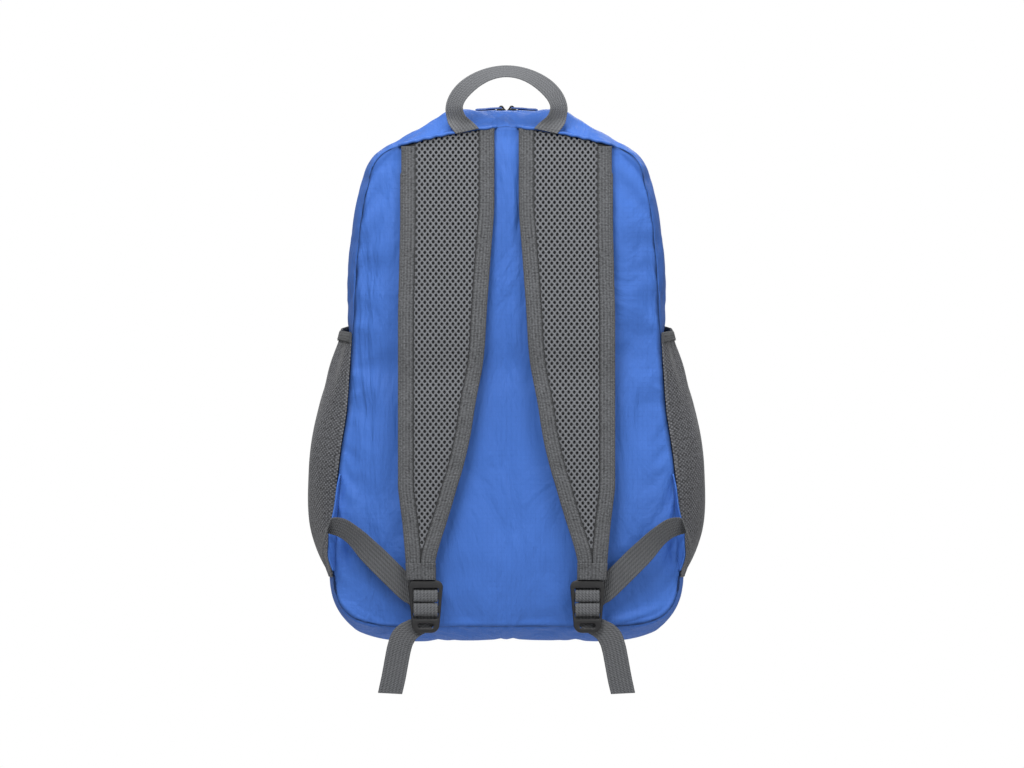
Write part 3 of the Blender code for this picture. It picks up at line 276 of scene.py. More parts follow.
def top_seam(x):
    """Height of the seam's upper side."""
    return np.interp(np.abs(x), SEAM[: WIDEST + 1, 0], SEAM[: WIDEST + 1, 1])


def bottom_seam(x):
    """Height of the seam's lower side."""
    lower = SEAM[WIDEST:][::-1]
    return np.interp(np.abs(x), lower[:, 0], lower[:, 1])


def front_of(x, z):
    """The front seam's point that belongs to a point of the back seam."""
    share = (BACK_TOP - z) / BACK_HEIGHT
    depth = DEPTH * read(DEPTH_ROWS, share)
    height = BACK_TOP - FRONT_DROP - share * (BACK_HEIGHT - FRONT_DROP - FRONT_RISE)
    return np.stack([x * FRONT_SHARE, depth, height], -1)


def gusset(along, through):
    """The gusset's outer face on the right half."""
    along, through = np.broadcast_arrays(np.asarray(along, float), np.asarray(through, float))
    x, z = seam(along)
    out_x, out_z = seam_out(along)
    back = np.stack([x, np.full(x.shape, GAP), z], -1)
    lift = GUSSET_BULGE * read(BULGE_ROWS, along) * np.sin(np.pi * through)
    points = back + (front_of(x, z) - back) * through[..., None]
    points[..., 0] += out_x * lift
    points[..., 2] += out_z * lift
    return points


def gusset_normal(along, through):
    """The gusset's outward direction."""
    along, through = np.broadcast_arrays(np.asarray(along, float), np.asarray(through, float))
    across = gusset(along, np.minimum(through + 0.004, 1.0)) - gusset(along, np.maximum(through - 0.004, 0.0))
    run = gusset(np.minimum(along + 0.004, 1.0), through) - gusset(np.maximum(along - 0.004, 0.0), through)
    normal = np.cross(run, across)
    normal /= np.linalg.norm(normal, axis=-1, keepdims=True)
    out_x, out_z = seam_out(along)
    turned = normal[..., 0] * out_x + normal[..., 2] * out_z < 0.0
    normal[turned] *= -1.0
    return normal


def mirror(points, side):
    """Points of the right half, or their likes on the left."""
    return points * np.array([side, 1.0, 1.0])


def folds_at(folds, x, z):
    """How far the folds of a panel press it in."""
    across = x / HALF_WIDTH
    down = (BACK_TOP - z) / BACK_HEIGHT
    depth = np.zeros(np.shape(x))
    for fold_across, fold_down, length, width, angle, deep in folds:
        turn = math.radians(angle)
        along = (across - fold_across) * math.cos(turn) + (down - fold_down) * math.sin(turn)
        over = (down - fold_down) * math.cos(turn) - (across - fold_across) * math.sin(turn)
        depth += deep * np.exp(-((along / length) ** 4) - (over / width) ** 2)
    return FOLD_DEPTH * depth


def dome(x, z, side_power, end_power):
    """0 on the seam and 1 in the middle of a panel."""
    wide = half_width(z)
    across = np.minimum(np.abs(x) / np.maximum(wide, 1e-9), 1.0)
    edge = np.where(z > BACK_MIDDLE, top_seam(x), bottom_seam(x))
    up = np.minimum(np.abs((z - BACK_MIDDLE) / (edge - BACK_MIDDLE)), 1.0)
    return (1.0 - across ** side_power) * (1.0 - up ** end_power)


def back_depth(x, z):
    """How far the back panel stands out from the seam plane."""
    return CLOTH + dome(x, z, 4.0, 5.0) * (BACK_DOME - folds_at(BACK_FOLDS, x, z))


def front_depth(x, z):
    """How far the front panel stands out from its seam."""
    return CLOTH + GAP + dome(x, z, 2.6, 3.2) * (FRONT_DOME - folds_at(FRONT_FOLDS, x, z))


def ripple(at, seed, low, high, count=9):
    """A wavy line from -1 to 1, the sum of sine waves of seeded sizes."""
    chance = np.random.default_rng(seed)
    total = np.zeros(np.shape(at))
    for _ in range(count):
        total += math.sqrt(2.0 / count) * np.sin(at * chance.uniform(low, high) + chance.uniform(0.0, 6.283))
    return total / 1.6


# Straps as heights over the plane of the view

def strap_start(x):
    """Height of a strap's top edge."""
    return top_seam(x) - STRAP_TOP_DROP


def strap_edge(share, inner=False):
    """x and z of a strap's outer or inner edge on the right."""
    x = STRAP_OUTER_X * read(STRAP_ROWS, share)
    if inner:
        x = x - STRAP_TOP_WIDTH * read(STRAP_ROWS, share, 2)
    start = strap_start(x)
    return x, start + (STRAP_END - start) * share


def strap_middle(share):
    """How far a strap's middle plane stands out from the seam plane."""
    outer_x, outer_z = strap_edge(share)
    inner_x, inner_z = strap_edge(share, True)
    deepest = max(
        float(back_depth(outer_x + (inner_x - outer_x) * place, outer_z + (inner_z - outer_z) * place))
        for place in np.linspace(0.0, 1.0, 7)
    )
    pad = PAD_THICKNESS * float(read(LOFT_ROWS, share, 2)) / 2.0
    return deepest + GAP + max(pad, TAPE_HALF) + STRAP_LOFT * float(read(LOFT_ROWS, share))


STRAP_SHARES = np.linspace(0.0, 1.0, 120)
STRAP_DEPTHS = np.array([strap_middle(share) for share in STRAP_SHARES])
STRAP_DEPTHS = np.convolve(np.pad(STRAP_DEPTHS, 3, mode="edge"), np.ones(7) / 7.0, mode="valid")


def strap_depth(share):
    """A strap's middle plane, smoothed."""
    return np.interp(share, STRAP_SHARES, STRAP_DEPTHS)


def tape_width(width):
    """Width of the binding tape on a strap of some width."""
    return np.minimum(TAPE_WIDTH, width / 2.0 - GAP)


def pad_crown(share, from_outer, width):
    """Half the pad's thickness at a place across it."""
    nearest = np.minimum(from_outer, width - from_outer)
    full = PAD_THICKNESS / 2.0 * read(LOFT_ROWS, share, 2)
    rise = np.maximum(nearest - tape_width(width), 0.0)
    return PAD_EDGE / 2.0 + np.maximum(full - PAD_EDGE / 2.0, 0.0) * (1.0 - np.exp(-rise / (4.0 * MM)))


# Meshes

def mark(mesh, label, values):
    """Give every point of a mesh a number that its finish reads."""
    layer = mesh.attributes.new(label, "FLOAT", "POINT")
    layer.data.foreach_set("value", np.asarray(values, np.float32).reshape(-1))
    return mesh


def grid_mesh(name, points, uv, wrap=False, tube=False, skip=None, flip=False):
    """A mesh through a grid of points with a map in metres, closed round its rows or columns if asked."""
    rows, columns = points.shape[:2]
    row, column = np.meshgrid(
        np.arange(rows if wrap else rows - 1), np.arange(columns if tube else columns - 1), indexing="ij"
    )
    if skip is not None:
        keep = ~skip[row, column]
        row, column = row[keep], column[keep]
    row, column = row.ravel(), column.ravel()
    corners = [(row, column), (row, column + 1), (row + 1, column + 1), (row + 1, column)]
    if flip:
        corners.reverse()
    faces = np.stack([(r % rows) * columns + c % columns for r, c in corners], 1)
    mesh = bpy.data.meshes.new(name)
    mesh.from_pydata(points.reshape(-1, 3).tolist(), [], faces.tolist())
    layer = mesh.uv_layers.new(name="Cloth")
    maps = np.stack([uv[r, c] for r, c in corners], 1)
    layer.data.foreach_set("uv", maps.reshape(-1).astype(np.float32))
    mesh.shade_smooth()
    return mesh


def clean_mesh(mesh, merge=0.0, recalc=True):
    """Drop loose points, merge doubles and turn the faces outwards."""
    work = bmesh.new()
    work.from_mesh(mesh)
    loose = [vert for vert in work.verts if not vert.link_faces]
    bmesh.ops.delete(work, geom=loose, context="VERTS")
    if merge:
        bmesh.ops.remove_doubles(work, verts=work.verts, dist=merge)
    if recalc:
        bmesh.ops.recalc_face_normals(work, faces=work.faces)
    work.to_mesh(mesh)
    work.free()
    return mesh


def cap_ends(mesh, columns, rows):
    """Close the two ends of a tube."""
    work = bmesh.new()
    work.from_mesh(mesh)
    work.verts.ensure_lookup_table()
    for start in (0, (rows - 1) * columns):
        face = work.faces.new([work.verts[start + place] for place in range(columns)])
        face.smooth = False
    bmesh.ops.recalc_face_normals(work, faces=work.faces)
    work.to_mesh(mesh)
    work.free()
    return mesh


def add(name, mesh, material, body="bag", nodes=()):
    """Link a finished mesh, give it its finish and let it ride on its body."""
    mesh.materials.clear()
    mesh.materials.append(material)
    made = bpy.data.objects.new(name, mesh)
    bpy.context.scene.collection.objects.link(made)
    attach(made, body)
    if nodes:
        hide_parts(*nodes)
    return made


def wall(made, thickness, offset=-1.0, levels=0):
    """Subdivide a sheet if asked and give it its wall."""
    if levels:
        fine = made.modifiers.new("Fine", "SUBSURF")
        fine.levels = levels
        fine.render_levels = levels
    solid = made.modifiers.new("Wall", "SOLIDIFY")
    solid.thickness = thickness
    solid.offset = offset
    solid.use_even_offset = False
    return made


def direction(turn, lean):
    """Width direction of a band: turned in the view's plane, then leant."""
    turn, lean = math.radians(turn), math.radians(lean)
    return [math.cos(turn) * math.cos(lean), -math.sin(lean), math.sin(turn) * math.cos(lean)]


def band_mesh(name, rows, count, width, wall_thickness, ribs, rib_height, columns=57):
    """A woven band along a route, with ribs down its length and rounded selvedges."""
    path = even_curve(rows, count)
    centres = path[:, :3]
    run = np.gradient(centres, axis=0)
    run /= np.linalg.norm(run, axis=1, keepdims=True)
    over = path[:, 3:6] / np.linalg.norm(path[:, 3:6], axis=1, keepdims=True)
    up = np.cross(run, over)
    up /= np.linalg.norm(up, axis=1, keepdims=True)
    place = np.linspace(-1.0, 1.0, columns)
    edge = np.sqrt(np.clip(1.0 - np.clip((np.abs(place) - 0.95) / 0.05, 0.0, 1.0) ** 2, 0.02, 1.0))
    cords = np.abs(np.sin(math.pi * ribs * (place + 1.0) / 2.0))
    height = (wall_thickness / 2.0 - rib_height) * edge + rib_height * cords * edge
    across = np.concatenate((place, place[::-1]))
    lift = np.concatenate((height, -height[::-1]))
    half = width / 2.0 * path[:, 6]
    points = (
        centres[:, None] + over[:, None] * (half[:, None] * across[None])[..., None]
        + up[:, None] * lift[None, :, None]
    )
    length = np.concatenate(([0.0], np.cumsum(np.linalg.norm(np.diff(centres, axis=0), axis=1))))
    flat = np.concatenate((across, across[:1]))
    uv = np.stack(np.broadcast_arrays(width / 2.0 * flat[None], length[:, None]), -1)
    return cap_ends(grid_mesh(name, points, uv, tube=True), 2 * columns, count)


# Repeated pieces by nodes

def socket_of(tree, name):
    """Identifier of a tree's input."""
    for item in tree.interface.items_tree:
        if item.name == name and item.in_out == "INPUT":
            return item.identifier
    raise RuntimeError("no input " + name)


def new_tree(name, inputs):
    """A geometry tree with named inputs."""
    tree = bpy.data.node_groups.new(name, "GeometryNodeTree")
    tree.interface.new_socket("Geometry", in_out="INPUT", socket_type="NodeSocketGeometry")
    for label, kind, default in inputs:
        item = tree.interface.new_socket(label, in_out="INPUT", socket_type=kind)
        if default is not None:
            item.default_value = default
    tree.interface.new_socket("Geometry", in_out="OUTPUT", socket_type="NodeSocketGeometry")
    return tree


def stitch_tree():
    """Stitches along edges: one short rounded thread at every pitch."""
    tree = new_tree("Stitch Row", [
        ("Pitch", "NodeSocketFloat", 0.0032), ("Stitch Length", "NodeSocketFloat", 0.0025),
        ("Thread Thickness", "NodeSocketFloat", 0.0006), ("Unevenness", "NodeSocketFloat", 0.12),
        ("Seed", "NodeSocketInt", 4), ("Thread", "NodeSocketMaterial", None),
    ])
    make, link = tree.nodes.new, tree.links.new
    source, out = make("NodeGroupInput"), make("NodeGroupOutput")
    line = make("GeometryNodeMeshToCurve")
    link(source.outputs["Geometry"], line.inputs["Mesh"])
    points = make("GeometryNodeCurveToPoints")
    points.mode = "LENGTH"
    link(line.outputs["Curve"], points.inputs["Curve"])
    link(source.outputs["Pitch"], points.inputs["Length"])
    bead = make("GeometryNodeMeshUVSphere")
    bead.inputs["Segments"].default_value = 6
    bead.inputs["Rings"].default_value = 4
    bead.inputs["Radius"].default_value = 0.5
    size = make("ShaderNodeCombineXYZ")
    link(source.outputs["Thread Thickness"], size.inputs["X"])
    link(source.outputs["Thread Thickness"], size.inputs["Y"])
    link(source.outputs["Stitch Length"], size.inputs["Z"])
    shape = make("GeometryNodeTransform")
    link(bead.outputs["Mesh"], shape.inputs["Geometry"])
    link(size.outputs["Vector"], shape.inputs["Scale"])
    jitter = make("FunctionNodeRandomValue")
    jitter.data_type = "FLOAT"
    low, high = make("ShaderNodeMath"), make("ShaderNodeMath")
    low.operation, high.operation = "SUBTRACT", "ADD"
    low.inputs[0].default_value = high.inputs[0].default_value = 1.0
    link(source.outputs["Unevenness"], low.inputs[1])
    link(source.outputs["Unevenness"], high.inputs[1])
    floats = [socket for socket in jitter.inputs if socket.type == "VALUE"]
    link(low.outputs[0], floats[0])
    link(high.outputs[0], floats[1])
    link(source.outputs["Seed"], jitter.inputs["Seed"])
    placed = make("GeometryNodeInstanceOnPoints")
    link(points.outputs["Points"], placed.inputs["Points"])
    link(points.outputs["Rotation"], placed.inputs["Rotation"])
    link(shape.outputs["Geometry"], placed.inputs["Instance"])
    link([socket for socket in jitter.outputs if socket.type == "VALUE"][0], placed.inputs["Scale"])
    finish_tree(tree, placed.outputs["Instances"], source.outputs["Thread"], out)
    return tree


def finish_tree(tree, instances, material, out):
    """Realize the copies, shade them smooth and give them their finish."""
    make, link = tree.nodes.new, tree.links.new
    real = make("GeometryNodeRealizeInstances")
    shade = make("GeometryNodeSetShadeSmooth")
    paint = make("GeometryNodeSetMaterial")
    link(instances, real.inputs["Geometry"])
    link(real.outputs["Geometry"], shade.inputs["Geometry"])
    link(shade.outputs["Geometry"], paint.inputs["Geometry"])
    link(material, paint.inputs["Material"])
    link(paint.outputs["Geometry"], out.inputs["Geometry"])


def repeat_tree():
    """A small piece on every point, turned by the point's run and face directions."""
    tree = new_tree("Repeat On Points", [
        ("Piece", "NodeSocketObject", None), ("Piece Scale", "NodeSocketVector", (1.0, 1.0, 1.0)),
        ("Finish", "NodeSocketMaterial", None),
    ])
    make, link = tree.nodes.new, tree.links.new
    source, out = make("NodeGroupInput"), make("NodeGroupOutput")
    cloud = make("GeometryNodeMeshToPoints")
    link(source.outputs["Geometry"], cloud.inputs["Mesh"])
    piece = make("GeometryNodeObjectInfo")
    link(source.outputs["Piece"], piece.inputs["Object"])
    turns = []
    for label, axis in (("run", "X"), ("face", "Z")):
        named = make("GeometryNodeInputNamedAttribute")
        named.data_type = "FLOAT_VECTOR"
        named.inputs["Name"].default_value = label
        turn = make("FunctionNodeAlignRotationToVector")
        turn.axis = axis
        turn.pivot_axis = "AUTO" if axis == "X" else "X"
        link([socket for socket in named.outputs if socket.type == "VECTOR"][0], turn.inputs["Vector"])
        turns.append(turn)
    link(turns[0].outputs["Rotation"], turns[1].inputs["Rotation"])
    placed = make("GeometryNodeInstanceOnPoints")
    link(cloud.outputs["Points"], placed.inputs["Points"])
    link(piece.outputs["Geometry"], placed.inputs["Instance"])
    link(turns[1].outputs["Rotation"], placed.inputs["Rotation"])
    link(source.outputs["Piece Scale"], placed.inputs["Scale"])
    finish_tree(tree, placed.outputs["Instances"], source.outputs["Finish"], out)
    return tree


def tree_named(name, build):
    """A tree, built once."""
    return bpy.data.node_groups.get(name) or build()


def grow(carrier, tree, values):
    """Run a tree on a carrier mesh and return the plain mesh that it makes."""
    holder = bpy.data.objects.new("holder", carrier)
    bpy.context.scene.collection.objects.link(holder)
    change = holder.modifiers.new("Nodes", "NODES")
    change.node_group = tree
    for label, value in values.items():
        change[socket_of(tree, label)] = value
    bpy.context.view_layer.update()
    made = bpy.data.meshes.new_from_object(holder.evaluated_get(bpy.context.evaluated_depsgraph_get()))
    bpy.data.objects.remove(holder, do_unlink=True)
    return made


def repeated(name, points, piece, material, scale=(1.0, 1.0, 1.0), runs=None, faces=None):
    """A mesh of one small piece repeated on many points."""
    carrier = bpy.data.meshes.new(name)
    carrier.from_pydata(np.asarray(points).tolist(), [], [])
    for label, values, default in (("run", runs, (1, 0, 0)), ("face", faces, (0, 0, 1))):
        values = np.tile(np.array(default, float), (len(points), 1)) if values is None else values
        layer = carrier.attributes.new(label, "FLOAT_VECTOR", "POINT")
        layer.data.foreach_set("vector", np.asarray(values, np.float32).reshape(-1))
    holder = bpy.data.objects.new(name + "_piece", piece)
    bpy.context.scene.collection.objects.link(holder)
    made = grow(carrier, tree_named("Repeat On Points", repeat_tree), {
        "Piece": holder, "Piece Scale": scale, "Finish": material,
    })
    bpy.data.objects.remove(holder, do_unlink=True)
    return made


def stitched(name, lines, material, pitch, length, thickness, seed=4):
    """Stitches along a list of lines."""
    points, edges = [], []
    for line in lines:
        start = len(points)
        points += np.asarray(line).tolist()
        edges += [(start + place, start + place + 1) for place in range(len(line) - 1)]
    carrier = bpy.data.meshes.new(name)
    carrier.from_pydata(points, edges, [])
    mesh = grow(carrier, tree_named("Stitch Row", stitch_tree), {
        "Pitch": pitch, "Stitch Length": length, "Thread Thickness": thickness, "Seed": seed,
        "Thread": material,
    })
    return add(name, mesh, material)


# Finishes

class Finish:
    """A Principled material that is put together node by node."""

    def __init__(self, name, colour, roughness, **sockets):
        self.made = bpy.data.materials.new(name)
        self.made.use_nodes = True
        self.made.diffuse_color = (*colour, 1.0)
        self.nodes = self.made.node_tree.nodes
        self.shader = self.nodes["Principled BSDF"]
        self.shader.inputs["Base Color"].default_value = (*colour, 1.0)
        self.shader.inputs["Roughness"].default_value = roughness
        for label, value in sockets.items():
            self.shader.inputs[label.replace("_", " ")].default_value = value
        self.colour = colour

    def put(self, kind, **settings):
        """Add a node with its settings."""
        node = self.nodes.new("ShaderNode" + kind)
        for label, value in settings.items():
            setattr(node, label, value)
        return node

    def join(self, source, target):
        """Link two sockets."""
        self.made.node_tree.links.new(source, target)

    def maths(self, operation, first, second=None, third=None):
        """A maths node on sockets or numbers."""
        node = self.put("Math", operation=operation)
        for place, value in enumerate((first, second, third)):
            if value is None:
                continue
            if isinstance(value, (int, float)):
                node.inputs[place].default_value = value
            else:
                self.join(value, node.inputs[place])
        return node.outputs[0]

    def cloth_map(self):
        """The piece's own map, in metres, across and along."""
        node = self.put("UVMap", uv_map="Cloth")
        parts = self.put("SeparateXYZ")
        self.join(node.outputs["UV"], parts.inputs[0])
        return node.outputs["UV"], parts.outputs[0], parts.outputs[1]

    def spot(self):
        """Object coordinates."""
        return self.put("TexCoord").outputs["Object"]

    def noise(self, vector, scale, detail=3.0, stretch=(1.0, 1.0, 1.0), distortion=0.0):
        """Noise on stretched coordinates."""
        mapped = self.put("Mapping")
        mapped.inputs["Scale"].default_value = stretch
        self.join(vector, mapped.inputs["Vector"])
        node = self.put("TexNoise")
        node.inputs["Scale"].default_value = scale
        node.inputs["Detail"].default_value = detail
        node.inputs["Distortion"].default_value = distortion
        self.join(mapped.outputs[0], node.inputs["Vector"])
        return node.outputs["Fac"]

    def tint(self, share, dark, light):
        """Colour between two multiples of the base."""
        ramp = self.put("MapRange")
        ramp.inputs["To Min"].default_value = dark
        ramp.inputs["To Max"].default_value = light
        self.join(share, ramp.inputs["Value"])
        mix = self.put("VectorMath", operation="SCALE")
        mix.inputs[0].default_value = self.colour
        self.join(ramp.outputs[0], mix.inputs["Scale"])
        self.join(mix.outputs[0], self.shader.inputs["Base Color"])

    def rough(self, share, low, high):
        """Roughness between two values."""
        ramp = self.put("MapRange")
        ramp.inputs["To Min"].default_value = low
        ramp.inputs["To Max"].default_value = high
        self.join(share, ramp.inputs["Value"])
        self.join(ramp.outputs[0], self.shader.inputs["Roughness"])

    def bump(self, height, distance, before=None):
        """Add relief on top of what is there."""
        node = self.put("Bump")
        node.inputs["Distance"].default_value = distance
        self.join(height, node.inputs["Height"])
        if before is not None:
            self.join(before.outputs[0], node.inputs["Normal"])
        self.join(node.outputs[0], self.shader.inputs["Normal"])
        return node

    def line_at(self, value, pitch, share):
        """1 on a thin line at every pitch, 0 between."""
        wave = self.maths("PINGPONG", value, pitch / 2.0)
        return self.maths("LESS_THAN", wave, pitch / 2.0 * share)

    def wave_at(self, value, pitch, start=0.0):
        """A sine wave from 0 to 1 of a pitch, lowest at its start."""
        phase = -2.0 * math.pi * start / pitch - math.pi / 2.0
        turned = self.maths("MULTIPLY_ADD", value, 2.0 * math.pi / pitch, phase)
        return self.maths("MULTIPLY_ADD", self.maths("SINE", turned), 0.5, 0.5)

    def darken_with_painted_shade(self, share):
        """Darken the colour where a share is high: painted shade."""
        left = self.maths("SUBTRACT", 1.0, share)
        mix = self.put("VectorMath", operation="SCALE")
        source = self.shader.inputs["Base Color"].links[0].from_socket
        self.join(source, mix.inputs[0])
        self.join(left, mix.inputs["Scale"])
        self.join(mix.outputs[0], self.shader.inputs["Base Color"])


def ripstop(name, colour):
    """Thin nylon: square ripstop threads, a fine weave and slack crinkles."""
    made = Finish(name, colour, 0.58, Sheen_Weight=0.01, Sheen_Roughness=0.4, Specular_IOR_Level=0.12)
    flat, across, along = made.cloth_map()
    threads = made.maths("MAXIMUM", made.line_at(across, 0.0040, 0.10), made.line_at(along, 0.0040, 0.10))
    cloud = made.noise(made.spot(), 9.0, 4.0)
    grain = made.noise(flat, 900.0, 2.0, (1.0, 0.35, 1.0))
    mottle = made.maths("MULTIPLY_ADD", grain, 0.35, made.maths("MULTIPLY", cloud, 0.8))
    shade = made.maths("MULTIPLY_ADD", threads, -0.10, mottle)
    made.tint(shade, 0.86, 1.12)
    # Painted shade: the cloth is darkened along its seams, where the crease would lie in shade.
    crease = made.put("Attribute", attribute_name="crease")
    made.darken_with_painted_shade(made.maths("MULTIPLY", crease.outputs["Fac"], 0.8))
    made.rough(cloud, 0.48, 0.62)
    crinkle = made.bump(made.noise(made.spot(), 20.0, 5.0, (1.0, 1.0, 0.4), 1.2), 0.0085)
    fine = made.bump(made.noise(made.spot(), 90.0, 3.0, (1.0, 1.0, 0.6)), 0.0006, crinkle)
    made.bump(made.maths("MULTIPLY_ADD", threads, 0.6, grain), 0.00010, fine)
    return made.made


def webbing_finish(name, colour, diagonal=0.0021):
    """Ribbed webbing: slanting picks between lengthwise cords."""
    made = Finish(name, colour, 0.75, Sheen_Weight=0.08, Sheen_Roughness=0.5, Specular_IOR_Level=0.22)
    flat, across, along = made.cloth_map()
    slant = made.wave_at(made.maths("MULTIPLY_ADD", across, 0.8, along), diagonal)
    pick = made.wave_at(along, 0.0013)
    cord = made.wave_at(across, CORD_PITCH, CORD_PITCH * WEBBING_CORDS / 2.0)
    fuzz = made.noise(flat, 620.0, 3.0)
    woven = made.maths("MULTIPLY_ADD", slant, 0.25, made.maths("MULTIPLY", cord, 0.38))
    grain = made.maths("MULTIPLY_ADD", pick, 0.10, made.maths("MULTIPLY", fuzz, 0.5))
    shade = made.maths("ADD", woven, grain)
    made.tint(shade, 0.46, 1.32)
    weave = made.bump(made.maths("MULTIPLY_ADD", pick, 0.5, slant), 0.00030)
    made.bump(fuzz, 0.00035, weave)
    return made.made


def binding_finish(name, colour):
    """Flat woven binding tape with a tight plain weave."""
    made = Finish(name, colour, 0.8, Sheen_Weight=0.08, Sheen_Roughness=0.5, Specular_IOR_Level=0.2)
    flat, across, along = made.cloth_map()
    warp = made.wave_at(across, 0.0016)
    weft = made.wave_at(along, 0.0012)
    fuzz = made.noise(flat, 760.0, 2.0)
    patch = made.noise(flat, 60.0, 3.0)
    cross = made.maths("MULTIPLY", warp, weft)
    grain = made.maths("MULTIPLY_ADD", fuzz, 1.1, made.maths("MULTIPLY_ADD", patch, 0.3, -0.3))
    made.tint(made.maths("MULTIPLY_ADD", cross, 0.4, grain), 0.0, 1.86)
    weave = made.bump(made.maths("ADD", warp, weft), 0.00020)
    made.bump(fuzz, 0.0005, weave)
    return made.made


def mesh_finish(name, colour):
    """Knitted yarn of the spacer mesh, with painted shade that darkens it down in its cells."""
    made = Finish(name, colour, 0.8, Sheen_Weight=0.08, Sheen_Roughness=0.5, Specular_IOR_Level=0.2)
    layer = made.put("Attribute", attribute_name="rise")
    fuzz = made.noise(made.spot(), 620.0, 3.0)
    # Painted shade: the lower the yarn lies in its cell, the darker it is painted.
    shade = made.maths("MULTIPLY_ADD", fuzz, 0.30, made.maths("MULTIPLY", layer.outputs["Fac"], 0.85))
    made.tint(shade, 0.12, 1.18)
    made.bump(fuzz, 0.0004)
    return made.made


def knit_finish(name, colour):
    """Fine pocket knit: small open cells in staggered rows."""
    made = Finish(name, colour, 0.6, Sheen_Weight=0.12, Sheen_Roughness=0.35, Specular_IOR_Level=0.32)
    flat, across, along = made.cloth_map()
    rising = made.maths("MULTIPLY_ADD", across, 0.7, along)
    falling = made.maths("MULTIPLY_ADD", across, -0.7, along)
    cells = made.maths("MULTIPLY", made.wave_at(rising, 0.0030), made.wave_at(falling, 0.0030))
    cloud = made.noise(made.spot(), 16.0, 3.0, (1.0, 1.0, 0.45))
    fuzz = made.noise(flat, 420.0, 3.0)
    grain = made.maths("MULTIPLY_ADD", fuzz, 1.4, made.maths("MULTIPLY_ADD", cloud, 0.3, -0.5))
    made.tint(made.maths("MULTIPLY_ADD", cells, 0.6, grain), 0.0, 2.04)
    slack = made.bump(made.noise(made.spot(), 26.0, 3.0, (1.0, 1.0, 0.35)), 0.0050)
    made.bump(cells, 0.00040, slack)
    return made.made


def moulded_finish(name, colour, roughness=0.42):
    """Moulded plastic with a fine spark grain."""
    made = Finish(name, colour, roughness, Specular_IOR_Level=0.5)
    spark = made.noise(made.spot(), 1800.0, 2.0)
    cloud = made.noise(made.spot(), 60.0, 3.0)
    made.rough(cloud, roughness - 0.06, roughness + 0.08)
    made.tint(cloud, 0.9, 1.15)
    made.bump(spark, 0.00008)
    return made.made


def paint_finish(name, colour):
    """Black painted metal, worn a little lighter in patches."""
    made = Finish(name, colour, 0.34, Metallic=0.55, Coat_Weight=0.25, Coat_Roughness=0.25)
    patch = made.noise(made.spot(), 240.0, 4.0)
    made.tint(patch, 0.7, 1.7)
    made.rough(patch, 0.26, 0.44)
    made.bump(patch, 0.00006)
    return made.made


def thread_finish(name, colour):
    """Twisted sewing thread."""
    made = Finish(name, colour, 0.7, Sheen_Weight=0.3)
    fuzz = made.noise(made.spot(), 2400.0, 2.0)
    made.tint(fuzz, 0.8, 1.2)
    made.bump(fuzz, 0.0001)
    return made.made


def lining_finish(name, colour):
    """Close dark fabric behind the mesh."""
    made = Finish(name, colour, 0.85, Sheen_Weight=0.2)
    fuzz = made.noise(made.spot(), 800.0, 3.0)
    made.tint(fuzz, 0.6, 1.3)
    made.bump(fuzz, 0.0003)
    return made.made


def look(key):
    """A finish of the backpack, made once."""
    name, build, which, extra = LOOKS[key]
    if name in bpy.data.materials:
        return bpy.data.materials[name]
    colour = tuple(getattr(bpy.context.scene.backpack_colours, which))
    return build(name, tuple(part * extra for part in colour))


LOOKS = {
    "shell": ("Blue Ripstop Nylon", ripstop, "shell", 1.0),
    "zip_tape": ("Blue Zip Tape", binding_finish, "shell", 0.8),
    "webbing": ("Grey Ribbed Webbing", webbing_finish, "webbing", 1.0),
    # The handle reuses the webbing finish painted 1.3 times lighter: a painted highlight where the top light
    # falls on it.
    "handle": ("Light Grey Handle Webbing", webbing_finish, "webbing", 1.3),
    "binding": ("Grey Binding Tape", binding_finish, "webbing", 1.0),
    "elastic": ("Grey Elastic Binding", binding_finish, "webbing", 0.85),
    "mesh": ("Grey Spacer Mesh", mesh_finish, "mesh", 1.0),
    "lining": ("Dark Pad Lining", lining_finish, "mesh", 0.16),
    "knit": ("Charcoal Pocket Knit", knit_finish, "knit", 1.0),
    "acetal": ("Black Moulded Buckle", moulded_finish, "black", 1.0),
    "coil": ("Black Zip Coil", moulded_finish, "black", 0.9),
    "pull": ("Blue Coated Pull", moulded_finish, "shell", 0.85),
    "paint": ("Black Painted Metal", paint_finish, "black", 1.0),
    "blue_thread": ("Blue Thread", thread_finish, "shell", 0.8),
    "grey_thread": ("Grey Thread", thread_finish, "webbing", 0.95),
}


# Settings

class BackpackColours(bpy.types.PropertyGroup):
    """Colours of the backpack's materials."""

    shell: FloatVectorProperty(
        name="Shell", description="Ripstop of the panels",
        subtype="COLOR", size=3, default=(0.049, 0.136, 0.455)
    )
    webbing: FloatVectorProperty(
        name="Webbing", description="Webbing and binding tape",
        subtype="COLOR", size=3, default=(0.090, 0.093, 0.099)
    )
    mesh: FloatVectorProperty(
        name="Mesh", description="Spacer mesh of the straps",
        subtype="COLOR", size=3, default=(0.132, 0.137, 0.148)
    )
    knit: FloatVectorProperty(
        name="Knit", description="Knit of the side pockets",
        subtype="COLOR", size=3, default=(0.086, 0.088, 0.096)
    )
    black: FloatVectorProperty(
        name="Black", description="Buckles, zip coil and sliders",
        subtype="COLOR", size=3, default=(0.0075, 0.0075, 0.0085)
    )


